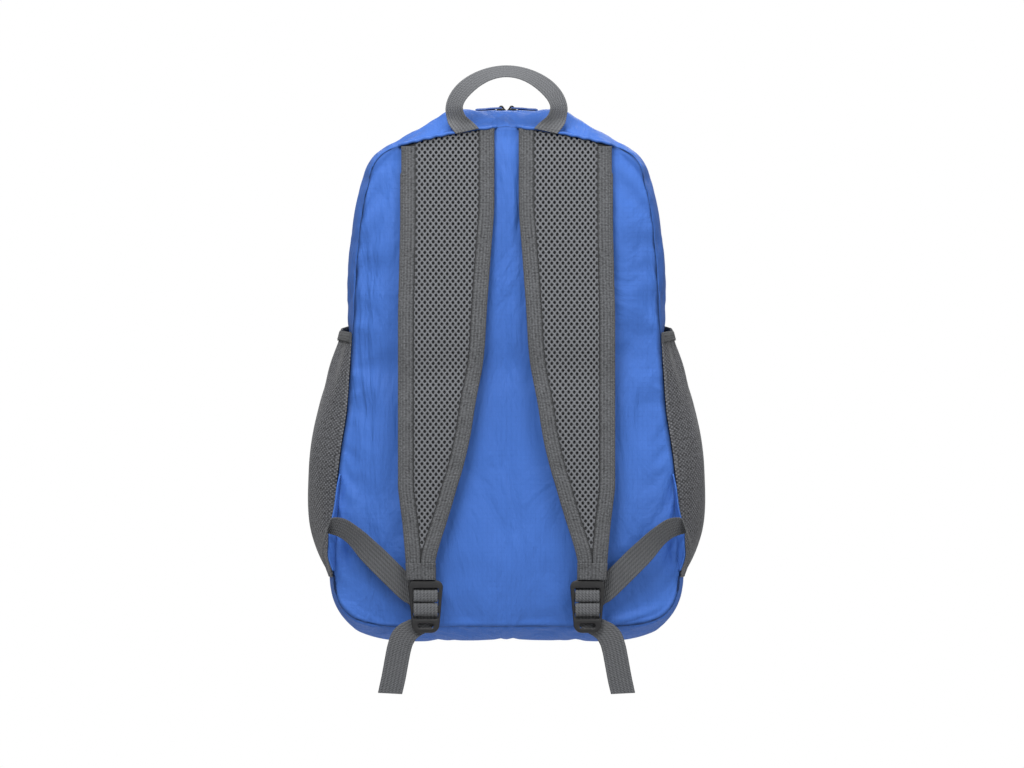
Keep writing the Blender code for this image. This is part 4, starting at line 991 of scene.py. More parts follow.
class BackpackShell(bpy.types.PropertyGroup):
    """Sizes of the cloth body."""

    grid: IntProperty(name="Grid", description="Cells along one side of a panel, even", default=72, min=16)
    cloth_wall: FloatProperty(
        name="Cloth Wall", description="Thickness of the cloth", default=0.9 * MM, unit="LENGTH"
    )
    seam_tuck: FloatProperty(
        name="Seam Tuck", description="How far the seams are drawn in", default=0.8 * MM, unit="LENGTH"
    )
    pressure: FloatProperty(
        name="Pressure", description="Air pressure while the cloth settles", default=1.4
    )
    slack: FloatProperty(
        name="Slack", description="Share by which the cloth is longer than its place", default=0.022
    )
    steps: IntProperty(name="Steps", description="Frames for which the cloth settles", default=20, min=1)
    pucker: FloatProperty(
        name="Pucker", description="Height of the puckers along the seams", default=0.7 * MM, unit="LENGTH"
    )


class BackpackBands(bpy.types.PropertyGroup):
    """Sizes of the webbing and the strap mesh."""

    width: FloatProperty(
        name="Webbing Width", description="Width of the webbing", default=WEBBING_WIDTH, unit="LENGTH"
    )
    wall: FloatProperty(
        name="Webbing Thickness", description="Thickness of the webbing", default=1.25 * MM, unit="LENGTH"
    )
    ribs: IntProperty(
        name="Ribs", description="Lengthwise cords of the webbing", default=WEBBING_CORDS, min=1
    )
    rib_height: FloatProperty(
        name="Rib Height", description="Height of one cord", default=0.20 * MM, unit="LENGTH"
    )
    cell_width: FloatProperty(
        name="Cell Width", description="Width of a mesh cell", default=4.65 * MM, unit="LENGTH"
    )
    cell_height: FloatProperty(
        name="Cell Height", description="Height of a mesh cell", default=5.9 * MM, unit="LENGTH"
    )
    hole_share: FloatProperty(name="Hole Share", description="Hole's share of its cell", default=0.47)
    stitch_pitch: FloatProperty(
        name="Stitch Pitch", description="Distance between stitches", default=3.1 * MM, unit="LENGTH"
    )
    stitch_length: FloatProperty(
        name="Stitch Length", description="Length of one stitch", default=2.4 * MM, unit="LENGTH"
    )
    thread: FloatProperty(
        name="Thread", description="Thickness of the sewing thread", default=0.55 * MM, unit="LENGTH"
    )


class BackpackStage(bpy.types.PropertyGroup):
    """The camera and the lights."""

    lens: FloatProperty(name="Lens", description="Focal length in millimetres", default=600.0)
    frame_width: FloatProperty(
        name="Frame Width", description="Width seen at the seam plane", default=845.3 * MM, unit="LENGTH"
    )
    frame_x: FloatProperty(
        name="Frame Centre Across", description="Where the view is centred", default=4.5 * MM, unit="LENGTH"
    )
    frame_z: FloatProperty(
        name="Frame Centre Height", description="Height of the view's centre",
        default=-253.4 * MM, unit="LENGTH"
    )
    ambient: FloatProperty(name="Ambient", description="Strength of the room's own light", default=0.30)
    floor: FloatProperty(
        name="Floor", description="Height of the floor", default=-1000.0 * MM, unit="LENGTH"
    )


# The cloth body

def panel_layout(count):
    """How far out, how far along the seam and on which side each point of a panel's grid lies."""
    line = np.linspace(-1.0, 1.0, count + 1)
    across, up = np.meshgrid(line, line, indexing="ij")
    disc_x = across * np.sqrt(1.0 - up * up / 2.0)
    disc_z = up * np.sqrt(1.0 - across * across / 2.0)
    out = 1.0 - (1.0 - np.clip(np.hypot(disc_x, disc_z), 0.0, 1.0)) ** 1.22
    out[0], out[-1], out[:, 0], out[:, -1] = 1.0, 1.0, 1.0, 1.0
    along = np.abs(np.arctan2(disc_x, disc_z)) / math.pi
    return out, along, np.where(disc_x < 0.0, -1.0, 1.0)


def panel_border(count):
    """Grid places round a panel, clockwise from its top centre."""
    half = count // 2
    places = [(i, count) for i in range(half, count + 1)]
    places += [(count, j) for j in range(count - 1, -1, -1)]
    places += [(i, 0) for i in range(count - 1, -1, -1)]
    places += [(0, j) for j in range(1, count + 1)]
    places += [(i, count) for i in range(1, half)]
    return places


def panel_points(layout):
    """x and z of a panel's points, and their distance from the seam."""
    out, along, side = layout
    x, z = seam(along)
    reach = np.hypot(x, z - BACK_MIDDLE)
    return side * x * out, BACK_MIDDLE + (z - BACK_MIDDLE) * out, (1.0 - out) * reach


def gusset_rows(along):
    """Shares through the gusset's depth, with rows on both edges of the zip."""
    depth = front_of(*seam(along))[..., 1]
    half = ZIP_SLOT / 2.0 / depth
    lip = 5.0 * MM / depth
    low, high = ZIP_PLACE - half, ZIP_PLACE + half
    shares = (0.0, 0.02, 0.06, 0.13, 0.23, 0.34, 0.46, 0.58, 0.70, 0.82, 0.92)
    rows = [value * (low - lip) for value in shares]
    rows += [low - lip, low, (low + high) / 2.0, high, high + lip]
    rest = 1.0 - high - lip
    rows += [high + lip + rest * value for value in (0.16, 0.34, 0.52, 0.70, 0.85, 0.94, 0.98, 1.0)]
    return np.stack(rows, -1)


def faces_between(first, second):
    """The faces between rows of point numbers and the rows after them."""
    corners = np.stack([first[:, :-1], first[:, 1:], second[:, 1:], second[:, :-1]], -1)
    return corners.reshape(-1, 4).tolist()


SLOT_ROW = 12
FIRST_LIP_ROW = 11


def shell_points(count, tuck):
    """Rest positions of the back panel, the gusset and the front panel."""
    layout = panel_layout(count)
    x, z, inset = panel_points(layout)
    roll = np.exp(-inset / (2.2 * MM))
    back = np.stack([x, -(back_depth(x, z) - CLOTH * roll) + 1.0 * MM * roll, z], -1)
    front = front_of(x, z)
    front[..., 1] += front_depth(x, z) - (CLOTH + GAP) * roll
    border = panel_border(count)
    along = np.array([layout[1][place] for place in border])
    side = np.array([layout[2][place] for place in border])
    rows = gusset_rows(along)
    band = gusset(along[:, None], rows)
    out_x, out_z = seam_out(along)
    for ring in (0, -1):
        band[:, ring, 0] -= out_x * tuck
        band[:, ring, 2] -= out_z * tuck
    held = ease(0.36, 0.39, along) * (1.0 - ease(0.75, 0.78, along))
    welt = np.exp(-((rows * DEPTH - 4.5 * MM) / (3.0 * MM)) ** 2) * (1.0 - held)[:, None]
    welt[:, 0] = 0.0
    band[..., 0] += 0.7 * MM * welt * out_x[:, None]
    band[..., 1] -= 1.4 * MM * welt
    band[..., 2] += 0.7 * MM * welt * out_z[:, None]
    band[..., 0] *= side[:, None]
    for place, key in enumerate(border):
        band[place, 0, 1] = back[key][1]
        back[key] = band[place, 0]
        band[place, -1, 1] = front[key][1]
        front[key] = band[place, -1]
    return layout, border, along, side, rows, back, band, front


def shell_limits(layout, along, rows, back, band, front):
    """How far the cloth may move at each point of the three panels."""
    x, z = back[..., 0], back[..., 2]
    share = np.clip((strap_start(x) - z) / (strap_start(x) - STRAP_END), 0.0, 1.0)
    outer, inner = strap_edge(share)[0], strap_edge(share, True)[0]
    under = ease(-4.0 * MM, 1.0 * MM, np.abs(x) - inner) * ease(-4.0 * MM, 1.0 * MM, outer - np.abs(x))
    loft = STRAP_LOFT * read(LOFT_ROWS, share) * 0.5
    back_limit = 4.5 * MM * (1.0 - under) + np.minimum(loft, 4.5 * MM) * under
    pocket = ease(0.34, 0.385, along) * (1.0 - ease(0.745, 0.775, along))
    band_limit = (4.5 * MM * (1.0 - pocket) + 0.25 * MM * pocket)[:, None] * np.ones(rows.shape[1])
    front_limit = np.full(front.shape[:2], 8.0 * MM)
    return back_limit, band_limit, front_limit


def settle(points, faces, pins, settings):
    """Let the sewn cloth settle under a little air, and return where its points come to rest."""
    mesh = bpy.data.meshes.new("settling")
    mesh.from_pydata(points.tolist(), [], faces)
    made = bpy.data.objects.new("settling", mesh)
    bpy.context.scene.collection.objects.link(made)
    clean_mesh(mesh)
    group = made.vertex_groups.new(name="sewn")
    for weight in sorted(set(np.round(pins, 2)) - {0.0}):
        group.add(np.nonzero(np.round(pins, 2) == weight)[0].tolist(), float(weight), "REPLACE")
    cloth = made.modifiers.new("Cloth", "CLOTH")
    value = cloth.settings
    value.quality = 5
    value.mass = 0.12
    value.tension_stiffness = value.compression_stiffness = 18.0
    value.shear_stiffness = 6.0
    value.bending_stiffness = 0.06
    value.air_damping = 2.0
    value.use_pressure = True
    value.uniform_pressure_force = settings.pressure
    value.vertex_group_mass = "sewn"
    value.pin_stiffness = 8.0
    value.shrink_min = -settings.slack
    value.effector_weights.gravity = 0.0
    cloth.collision_settings.use_self_collision = False
    scene = bpy.context.scene
    cloth.point_cache.frame_start = 1
    cloth.point_cache.frame_end = settings.steps
    for step in range(1, settings.steps + 1):
        scene.frame_set(step)
    rest = made.evaluated_get(bpy.context.evaluated_depsgraph_get()).data
    flat = np.empty(len(rest.vertices) * 3)
    rest.vertices.foreach_get("co", flat)
    scene.frame_set(1)
    bpy.data.objects.remove(made, do_unlink=True)
    return flat.reshape(-1, 3)


class BACKPACK_OT_shell(bpy.types.Operator):
    """Make the back panel, the gusset and the front panel, and let their cloth settle"""

    bl_idname = "backpack.shell"
    bl_label = "Cloth Body"

    def execute(self, context):
        settings = context.scene.backpack_shell
        count = settings.grid
        layout, border, along, side, rows, back, band, front = shell_points(count, settings.seam_tuck)
        limits = shell_limits(layout, along, rows, back, band, front)
        back, band, front = self.settled(settings, border, along, back, band, front, limits)
        self.pucker(settings, border, along, side, rows, back, band, front)
        flat = np.stack([back[..., 0], back[..., 2]], -1)
        # Painted shade: the panels are darkened within a few millimetres of the seam, where the cloth creases
        # in.
        crease = np.exp(-(panel_points(layout)[2] / (2.0 * MM)) ** 2)
        for name, points, flip in (("back_panel", back, False), ("front_panel", front, True)):
            mesh = mark(grid_mesh(name + "_cloth", points, flat, flip=flip), "crease", crease)
            made = add(name + "_cloth", mesh, look("shell"), nodes=[name])
            wall(made, settings.cloth_wall, levels=1)
        around = np.where(side > 0.0, along, 2.0 - along) * SEAM_LENGTH
        around = np.concatenate((around, [2.0 * SEAM_LENGTH]))
        through = np.concatenate((rows, rows[:1])) * DEPTH
        uv = np.stack(np.broadcast_arrays(around[:, None], through), -1)
        after = np.roll(along, -1)
        open_zip = np.zeros((len(along), rows.shape[1]), bool)
        for row in (SLOT_ROW, SLOT_ROW + 1):
            open_zip[:, row] = (along <= ZIP_END) & (after <= ZIP_END)
        mesh = grid_mesh("gusset_cloth", band, uv, wrap=True, skip=open_zip, flip=True)
        # Painted shade on the gusset's two seam rows.
        edge = np.zeros(rows.shape)
        edge[:, [0, -1]] = 1.0
        mesh = clean_mesh(mark(mesh, "crease", edge), recalc=False)
        made = add("gusset_cloth", mesh, look("shell"), nodes=["gusset"])
        wall(made, settings.cloth_wall, levels=1)
        return {"FINISHED"}

    def settled(self, settings, border, along, back, band, front, limits):
        """The three panels after the cloth has settled, within their limits."""
        count = back.shape[0]
        size = count * count
        inner = band[:, 1:-1]
        ring = np.array([i * count + j for i, j in border])
        points = np.concatenate((back.reshape(-1, 3), front.reshape(-1, 3), inner.reshape(-1, 3)))
        index = np.empty(band.shape[:2], int)
        index[:, 0] = ring
        index[:, -1] = ring + size
        index[:, 1:-1] = 2 * size + np.arange(inner.shape[0] * inner.shape[1]).reshape(inner.shape[:2])
        faces = []
        for start in (0, size):
            cell = np.arange(size).reshape(count, count) + start
            faces += faces_between(cell[:-1], cell[1:])
        faces += faces_between(index, np.roll(index, -1, axis=0))
        pins = np.zeros(len(points))
        pins[index[:, 0]] = pins[index[:, -1]] = 1.0
        on_zip = np.nonzero(along < ZIP_END + 0.02)[0]
        for row in range(FIRST_LIP_ROW, SLOT_ROW + 4):
            pins[index[on_zip, row]] = 1.0
        held = (along > 0.37) & (along < 0.755)
        pins[index[held][:, 1:-1].ravel()] = 1.0
        moved = settle(points, faces, pins, settings)
        limit = np.concatenate([part.reshape(-1) for part in (limits[0], limits[2], limits[1][:, 1:-1])])
        delta = moved - points
        length = np.linalg.norm(delta, axis=1)
        soft = limit * np.tanh(length / np.maximum(limit, 1e-6))
        points = points + delta * (soft / np.maximum(length, 1e-9))[:, None]
        band = band.copy()
        band[:, 1:-1] = points[2 * size:].reshape(inner.shape)
        return points[:size].reshape(back.shape), band, points[size:2 * size].reshape(front.shape)

    def pucker(self, settings, border, along, side, rows, back, band, front):
        """Small puckers where the seams gather the cloth."""
        layout = panel_layout(settings.grid)
        _, _, inset = panel_points(layout)
        around = np.where(layout[2] > 0.0, layout[1], 2.0 - layout[1]) * SEAM_LENGTH
        fade = np.exp(-((inset - 5.0 * MM) / (6.0 * MM)) ** 2) * ease(0.0, 2.0 * MM, inset)
        low = 0.45 + 0.9 * ease(0.70, 0.80, layout[1]) + 0.25 * (1.0 - ease(0.0, 0.16, layout[1]))
        back[..., 1] += settings.pucker * fade * low * ripple(around, 3, 420.0, 900.0)
        front[..., 1] += settings.pucker * fade * low * ripple(around, 5, 420.0, 900.0)
        ring = np.where(side > 0.0, along, 2.0 - along) * SEAM_LENGTH
        out_x, out_z = seam_out(along)
        depth = rows * DEPTH
        for edge, seed in ((depth, 3), (depth[:, -1:] - depth, 5)):
            fade = np.exp(-((edge - 5.0 * MM) / (6.0 * MM)) ** 2) * ease(0.0, 2.0 * MM, edge)
            held = 1.0 - ease(0.36, 0.39, along) * (1.0 - ease(0.75, 0.78, along))
            high = settings.pucker * (fade * (ripple(ring, seed, 420.0, 900.0) * held * 1.2)[:, None])
            band[..., 0] += side[:, None] * out_x[:, None] * high
            band[..., 2] += out_z[:, None] * high


# Zip

def zip_line(along, across):
    """A point on the zip, across from its middle line in metres."""
    depth = front_of(*seam(along))[..., 1]
    return gusset(along, ZIP_PLACE + across / depth)


def zip_share_at(x):
    """The share along the seam at which the zip lies x across."""
    shares = np.linspace(0.0, 0.1, 60)
    return float(np.interp(x, zip_line(shares, 0.0)[:, 0], shares))


class BACKPACK_OT_zip(bpy.types.Operator):
    """Make the zip tape and the teeth, and finish the sliders and pulls"""

    bl_idname = "backpack.zip"
    bl_label = "Zip"

    def execute(self, context):
        shares = np.linspace(0.0, ZIP_END + 0.004, 130)
        along = np.concatenate((shares[:0:-1], shares))
        side = np.concatenate((np.full(129, -1.0), np.full(130, 1.0)))
        across = np.linspace(-7.2 * MM, 7.2 * MM, 17)
        points = zip_line(along[:, None], across[None])
        normal = gusset_normal(along[:, None], np.full((1, 17), ZIP_PLACE))
        sink = 1.5 * MM + 0.25 * MM * np.cos(across / (7.2 * MM) * math.pi)
        points = points - normal * sink[None, :, None]
        points[..., 0] *= side[:, None]
        uv = np.stack(np.broadcast_arrays(across[None], (side * along * SEAM_LENGTH)[:, None]), -1)
        mesh = grid_mesh("zip_tape_cloth", points, uv, flip=True)
        made = add("zip_tape_cloth", mesh, look("zip_tape"), nodes=["zip_tape"])
        wall(made, 0.7 * MM)
        for word, turn in SIDES:
            self.teeth(word, turn)
            self.bridge(word, turn)
        for name, key in (("slider", "paint"), ("pull", "pull")):
            for word, _ in SIDES:
                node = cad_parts[word + "_" + name]
                node.data.materials.clear()
                node.data.materials.append(look(key))
        return {"FINISHED"}

    def teeth(self, word, side):
        """Two rows of interlocked coil turns."""
        start = zip_share_at(2.0 * GAP + SLIDER_LENGTH)
        fine = np.linspace(start, ZIP_END - 0.006, 900)
        line = zip_line(fine, 0.0)
        reach = np.concatenate(([0.0], np.cumsum(np.linalg.norm(np.diff(line, axis=0), axis=1))))
        places = np.interp(np.arange(0.0, reach[-1], 1.3 * MM), reach, fine)
        centre = zip_line(places, 0.0)
        normal = gusset_normal(places, ZIP_PLACE)
        run = zip_line(places + 0.002, 0.0) - zip_line(places - 0.002, 0.0)
        run /= np.linalg.norm(run, axis=1, keepdims=True)
        centre = centre - normal * 0.35 * MM
        name = word + "_zip_teeth"
        mesh = repeated(
            name, mirror(centre, side), self.turn(), look("coil"),
            runs=mirror(run, side), faces=mirror(normal, side)
        )
        add(name, mesh, look("coil"), nodes=[word + "_zip_coil"])

    def bridge(self, word, side):
        """The small arch on a slider that its pull hangs from."""
        centre = zip_line(zip_share_at(GAP + SLIDER_LENGTH / 2.0), 0.0)
        turns = np.linspace(-0.5, 0.5, 15) * math.pi
        points = np.zeros((15, 8, 3))
        for row, turn in enumerate(turns):
            for column in range(8):
                around = 2.0 * math.pi * column / 8.0
                reach = 1.0 + 0.22 * math.cos(around)
                points[row, column] = (
                    2.6 * MM * math.sin(turn) * reach,
                    1.1 * MM * math.sin(around),
                    4.9 * MM * math.cos(turn) * reach
                )
        points = mirror(points + centre + np.array([0.0, 0.0, 0.9 * MM]), side)
        name = word + "_slider_bridge"
        mesh = cap_ends(grid_mesh(name, points, np.zeros((15, 9, 2)), tube=True), 8, 15)
        add(name, mesh, look("paint"))

    def turn(self):
        """One coil turn: a low arch across the zip."""
        arch = [(-2.3, -0.5), (-2.1, 0.35), (-1.5, 0.85), (0.0, 1.15), (1.5, 0.85), (2.1, 0.35), (2.3, -0.5)]
        points = np.zeros((7, 6, 3))
        for row, (across, height) in enumerate(arch):
            for column in range(6):
                turn = 2.0 * math.pi * column / 6.0
                points[row, column] = (
                    0.42 * math.cos(turn), across + 0.05 * math.sin(turn), height + 0.42 * math.sin(turn)
                )
        uv = np.zeros((7, 7, 2))
        return cap_ends(grid_mesh("coil_turn", points * MM, uv, tube=True), 6, 7)


# Pockets

def pocket(down, through):
    """The pocket's cloth on the right half, and its outward direction."""
    rim = POCKET_RIM - POCKET_RIM_RISE * through
    along = rim + (POCKET_BOTTOM - rim) * down
    normal = gusset_normal(along, through)
    own = GUSSET_BULGE * read(BULGE_ROWS, along)
    swell = POCKET_STAND_OFF * read(SWELL_ROWS, down) - own
    round_off = np.clip(np.sin(np.pi * through), 0.0, 1.0) ** 0.8
    fade = np.exp(-((down - 0.10) / 0.12) ** 2)
    gathers = np.sin(through * math.pi * 2.0 * GATHER_COUNT) * fade
    fine = 0.45 * MM * ripple(through * 0.12, 8, 350.0, 620.0) * np.exp(-((down - 0.03) / 0.10) ** 2)
    slack = 0.8 * MM * np.sin(through * 9.0 + down * 4.0) * np.sin(down * 11.0 - through * 3.0) * (1.0 - fade)
    away = (np.maximum(swell, 0.0) + 1.6 * MM * gathers + fine + slack * ease(0.0, 0.2, down)) * round_off
    return gusset(along, through) + normal * (GAP + np.maximum(away, 0.0) + CLOTH * 0.4)[..., None]


class BACKPACK_OT_pockets(bpy.types.Operator):
    """Make the knit side pockets and their elastic bindings"""

    bl_idname = "backpack.pockets"
    bl_label = "Side Pockets"

    def execute(self, context):
        binding = 8.0 * MM / ((POCKET_BOTTOM - POCKET_RIM) * SEAM_LENGTH)
        through = np.linspace(0.0, 1.0, 65)
        for word, side in SIDES:
            down = binding * 0.8 + (1.0 - binding * 0.8) * np.linspace(0.0, 1.0, 90)
            points = mirror(pocket(down[:, None], through[None]), side)
            uv = np.stack(np.broadcast_arrays(through[None] * DEPTH, down[:, None] * 0.2), -1)
            name = word + "_pocket_knit"
            mesh = grid_mesh(name, points, uv, flip=side < 0.0)
            made = add(name, mesh, look("knit"), nodes=[word + "_pocket"])
            wall(made, 0.8 * MM, offset=1.0)
            self.binding(word, side, binding, through)
        return {"FINISHED"}

    def binding(self, word, side, binding, through):
        """The elastic folded over the pocket's rim."""
        section = [
            (1.05, 1.25), (0.80, 1.45), (0.45, 1.5), (0.15, 1.35), (0.0, 0.9), (-0.06, 0.3), (0.0, -0.3),
            (0.15, -0.55), (0.45, -0.6), (0.80, -0.55), (1.05, -0.4),
        ]
        middle = pocket(np.full(65, binding * 0.5), through)
        normal = gusset_normal(POCKET_RIM - POCKET_RIM_RISE * through, through)
        rings = []
        for place, height in section:
            line = pocket(np.full(65, max(binding * place, 0.0)), through)
            if place < 0.0:
                line = line + (line - middle) * (-place)
            ribs = 0.10 * MM * np.sin(through * 2.0 * math.pi * 52.0) * (1.0 if height > 0.0 else 0.0)
            rings.append(line + normal * (height * MM + ribs)[:, None])
        points = mirror(np.stack(rings, 1), side)
        uv = np.stack(np.broadcast_arrays(np.linspace(0.0, 0.018, 12)[None], through[:, None] * DEPTH), -1)
        name = word + "_pocket_elastic"
        mesh = cap_ends(grid_mesh(name, points, uv, tube=True), 11, 65)
        add(name, mesh, look("elastic"), nodes=[word + "_pocket_binding"])


# Shoulder straps

def strap_share(x, z):
    """How far down a strap a point of the view's plane lies."""
    start = strap_start(x)
    return np.clip((start - z) / (start - STRAP_END), 0.0, 1.0)


def strap_spot(x, z):
    """Share down, distance from the outer edge and width at a point, for the right strap."""
    share = strap_share(x, z)
    outer = STRAP_OUTER_X * read(STRAP_ROWS, share)
    width = STRAP_TOP_WIDTH * read(STRAP_ROWS, share, 2)
    return share, outer - x, width


class BACKPACK_OT_straps(bpy.types.Operator):
    """Make the mesh pads of the shoulder straps and the tapes round their edges"""

    bl_idname = "backpack.straps"
    bl_label = "Shoulder Straps"

    def execute(self, context):
        bands = context.scene.backpack_bands
        for word, side in SIDES:
            self.core(word, side)
            self.lattice(word, side, bands)
            self.tape(word, side, "outer")
            self.tape(word, side, "inner")
            self.end_wrap(word, side)
            self.top_flap(word, side)
        return {"FINISHED"}

    def top_flap(self, word, side):
        """The edge of the cloth that laps over the top of a strap where it is sewn in."""
        inner_x = STRAP_OUTER_X * 0.981 - STRAP_TOP_WIDTH - 1.5 * MM
        outer_x = STRAP_OUTER_X * 0.981 + 1.5 * MM
        x = np.linspace(inner_x, outer_x, 60)
        end = ease(0.0, 5.0 * MM, x - inner_x) * ease(0.0, 5.0 * MM, outer_x - x)
        front = float(strap_depth(0.0)) + TAPE_HALF
        # Rows of the lap's section: how far out, how far up, and the painted shade that darkens its underside
        # over the strap.
        section = (
            (-1.2, 0.4, 0.0), (1.4, 1.1, 0.0), (4.0, 1.2, 0.0), (front / MM - 0.6, 0.9, 0.0),
            (front / MM + 0.35, 0.3, 0.1), (front / MM + 0.5, -0.5, 0.6), (front / MM + 0.1, -1.1, 1.0),
        )
        wave = 0.35 * MM * ripple(x, 41, 300.0, 700.0)
        rings, dark = [], []
        for out, up, shade in section:
            reach = -out * MM * (0.35 + 0.65 * end) if out > 0.0 else np.full(60, -out * MM)
            rings.append(np.stack([x, reach, top_seam(x) + (up * MM + wave * (out > 2.0))], -1))
            dark.append(np.full(60, shade))
        points = mirror(np.stack(rings, 0), side)
        uv = np.stack(np.broadcast_arrays(x[None], np.linspace(0.0, 0.012, 7)[:, None]), -1)
        name = word + "_strap_seam_lap"
        mesh = mark(grid_mesh(name, points, uv, flip=side < 0.0), "crease", np.stack(dark, 0))
        made = add(name, mesh, look("shell"))
        wall(made, 0.8 * MM, offset=0.0, levels=1)

    def core(self, word, side):
        """The dark spacer layer and lining under the open mesh."""
        share = np.linspace(0.0, 1.0, 130)
        outer_x, outer_z = strap_edge(share)
        inner_x, inner_z = strap_edge(share, True)
        width = outer_x - inner_x
        place = np.linspace(0.035, 0.965, 34)
        x = outer_x[:, None] + (inner_x - outer_x)[:, None] * place
        z = outer_z[:, None] + (inner_z - outer_z)[:, None] * place
        from_outer = width[:, None] * place
        half = pad_crown(share[:, None], from_outer, width[:, None])
        depth = strap_depth(share)[:, None]
        nearest = np.minimum(from_outer, width[:, None] - from_outer)
        sunk = 1.5 * MM * ease(0.0, 3.0 * MM, nearest - tape_width(width)[:, None])
        front = np.stack([x, -(depth + half - sunk), z], -1)
        back = np.stack([x, -(depth - half), z], -1)
        points = mirror(np.concatenate((front, back[:, ::-1]), 1), side)
        uv = np.zeros((130, 69, 2))
        uv[..., 0] = np.linspace(0.0, 0.15, 69)[None]
        uv[..., 1] = (share * 0.37)[:, None]
        name = word + "_strap_core"
        mesh = cap_ends(grid_mesh(name, points, uv, tube=True), 68, 130)
        made = add(name, mesh, look("lining"), nodes=[word + "_strap"])

    def lattice(self, word, side, bands):
        """The open knit face: a diamond cell with an oval hole, repeated over the pad."""
        wide, tall = bands.cell_width, bands.cell_height
        columns = np.arange(-3, 24)
        rows = np.arange(-2, 140)
        x, z = np.meshgrid(columns * wide, -0.036 - rows * tall / 2.0, indexing="ij")
        x = x + np.where(rows % 2 == 0, 0.0, wide / 2.0)[None]
        x, z = x.ravel(), z.ravel()
        share, from_outer, width = strap_spot(x, z)
        tape = tape_width(width)
        lap = 0.4 * wide
        keep = (from_outer > tape - lap) & (width - from_outer > tape - lap)
        keep &= (z < strap_start(x) + 3.1 * MM) & (z > STRAP_END + 2.0 * MM) & (width > 2.0 * tape + 2.6 * MM)
        flat = np.stack([x[keep], z[keep], np.zeros(keep.sum())], -1)
        name = word + "_strap_mesh"
        mesh = repeated(name, flat, self.cell(wide, tall, bands.hole_share), look("mesh"))
        clean_mesh(mesh, merge=0.02 * MM, recalc=False)
        flat = np.empty(len(mesh.vertices) * 3)
        mesh.vertices.foreach_get("co", flat)
        flat = flat.reshape(-1, 3)
        x, z, lift = flat[:, 0], flat[:, 1], flat[:, 2]
        share, from_outer, width = strap_spot(x, z)
        tape = tape_width(width)
        limit = tape - 0.8 * MM
        from_outer = np.clip(from_outer, limit, np.maximum(width - limit, limit))
        x = STRAP_OUTER_X * read(STRAP_ROWS, share) - from_outer
        z = np.minimum(z, strap_start(x) - 0.4 * MM)
        half = pad_crown(share, from_outer, width)
        near_tape = np.minimum(from_outer, width - from_outer) - tape
        drop = 0.9 * MM * (1.0 - ease(-0.5 * MM, 2.5 * MM, near_tape))
        y = -(strap_depth(share) + half + lift - drop)
        points = mirror(np.stack([x, y, z], -1), side)
        mesh.vertices.foreach_set("co", points.reshape(-1).astype(np.float32))
        # The yarn's height in its cell, which the mesh finish turns into painted shade.
        mark(mesh, "rise", np.clip((lift + 1.4 * MM) / (1.8 * MM), 0.0, 1.0))
        if side < 0.0:
            mesh.flip_normals()
        mesh.update()
        made = add(name, mesh, look("mesh"))
        return made

    def cell(self, wide, tall, hole):
        """One cell: ribs along the diamond's sides that fall into an oval hole."""
        count = 16
        turns = (np.arange(count) + 0.0) * 2.0 * math.pi / count
        cosine, sine = np.cos(turns), np.sin(turns)
        reach = 1.0 / (np.abs(cosine) / (wide / 2.0) + np.abs(sine) / (tall / 2.0))
        diamond = np.stack([reach * cosine, reach * sine], -1)
        oval = np.stack([wide / 2.0 * hole * cosine, tall / 2.0 * hole * sine], -1)
        levels = (
            (diamond, 0.30 * MM), (diamond * 0.55 + oval * 0.45, 0.22 * MM), (oval, -0.20 * MM),
            (oval * 0.93, -0.75 * MM), (oval * 0.98, -1.4 * MM),
        )
        points = np.zeros((len(levels), count, 3))
        for row, (outline, height) in enumerate(levels):
            points[row, :, :2] = outline
            points[row, :, 2] = height
        mesh = grid_mesh("mesh_cell", points, np.zeros((len(levels), count + 1, 2)), tube=True, flip=False)
        return mesh

    def end_wrap(self, word, side):
        """The bar of tape sewn across the lower end of a strap."""
        share = np.concatenate(([0.9615], np.linspace(0.962, 1.0, 9), [1.0]))
        outer_x, z = strap_edge(share)
        inner_x = strap_edge(share, True)[0]
        middle, half = (outer_x + inner_x) / 2.0, (outer_x - inner_x) / 2.0 + 0.3 * MM
        section = [
            (0.0, 0.60), (0.5, 0.60), (0.9, 0.55), (0.98, 0.35), (1.0, 0.0), (0.98, -0.35), (0.9, -0.55),
            (0.0, -0.60), (-0.9, -0.55), (-0.98, -0.35), (-1.0, 0.0), (-0.98, 0.35), (-0.9, 0.55), (-0.5, 0.60),
        ]
        grow = np.concatenate(([0.0], np.ones(9), [0.0]))
        depth = strap_depth(share)
        rings = []
        for across, height in section:
            waves = 0.12 * MM * ripple(share * 0.37 + across, 31, 700.0, 1500.0)
            lift = height / 0.6 * (TAPE_HALF + 0.45 * MM * grow + waves)
            rings.append(np.stack([middle + across * half, -(depth + lift), z], -1))
        points = mirror(np.stack(rings, 1), side)
        uv = np.stack(np.broadcast_arrays(np.linspace(0.0, 0.05, 15)[None], (share * 0.372)[:, None]), -1)
        name = word + "_strap_end_bar"
        mesh = cap_ends(grid_mesh(name, points, uv, tube=True), 14, 11)
        add(name, mesh, look("binding"))

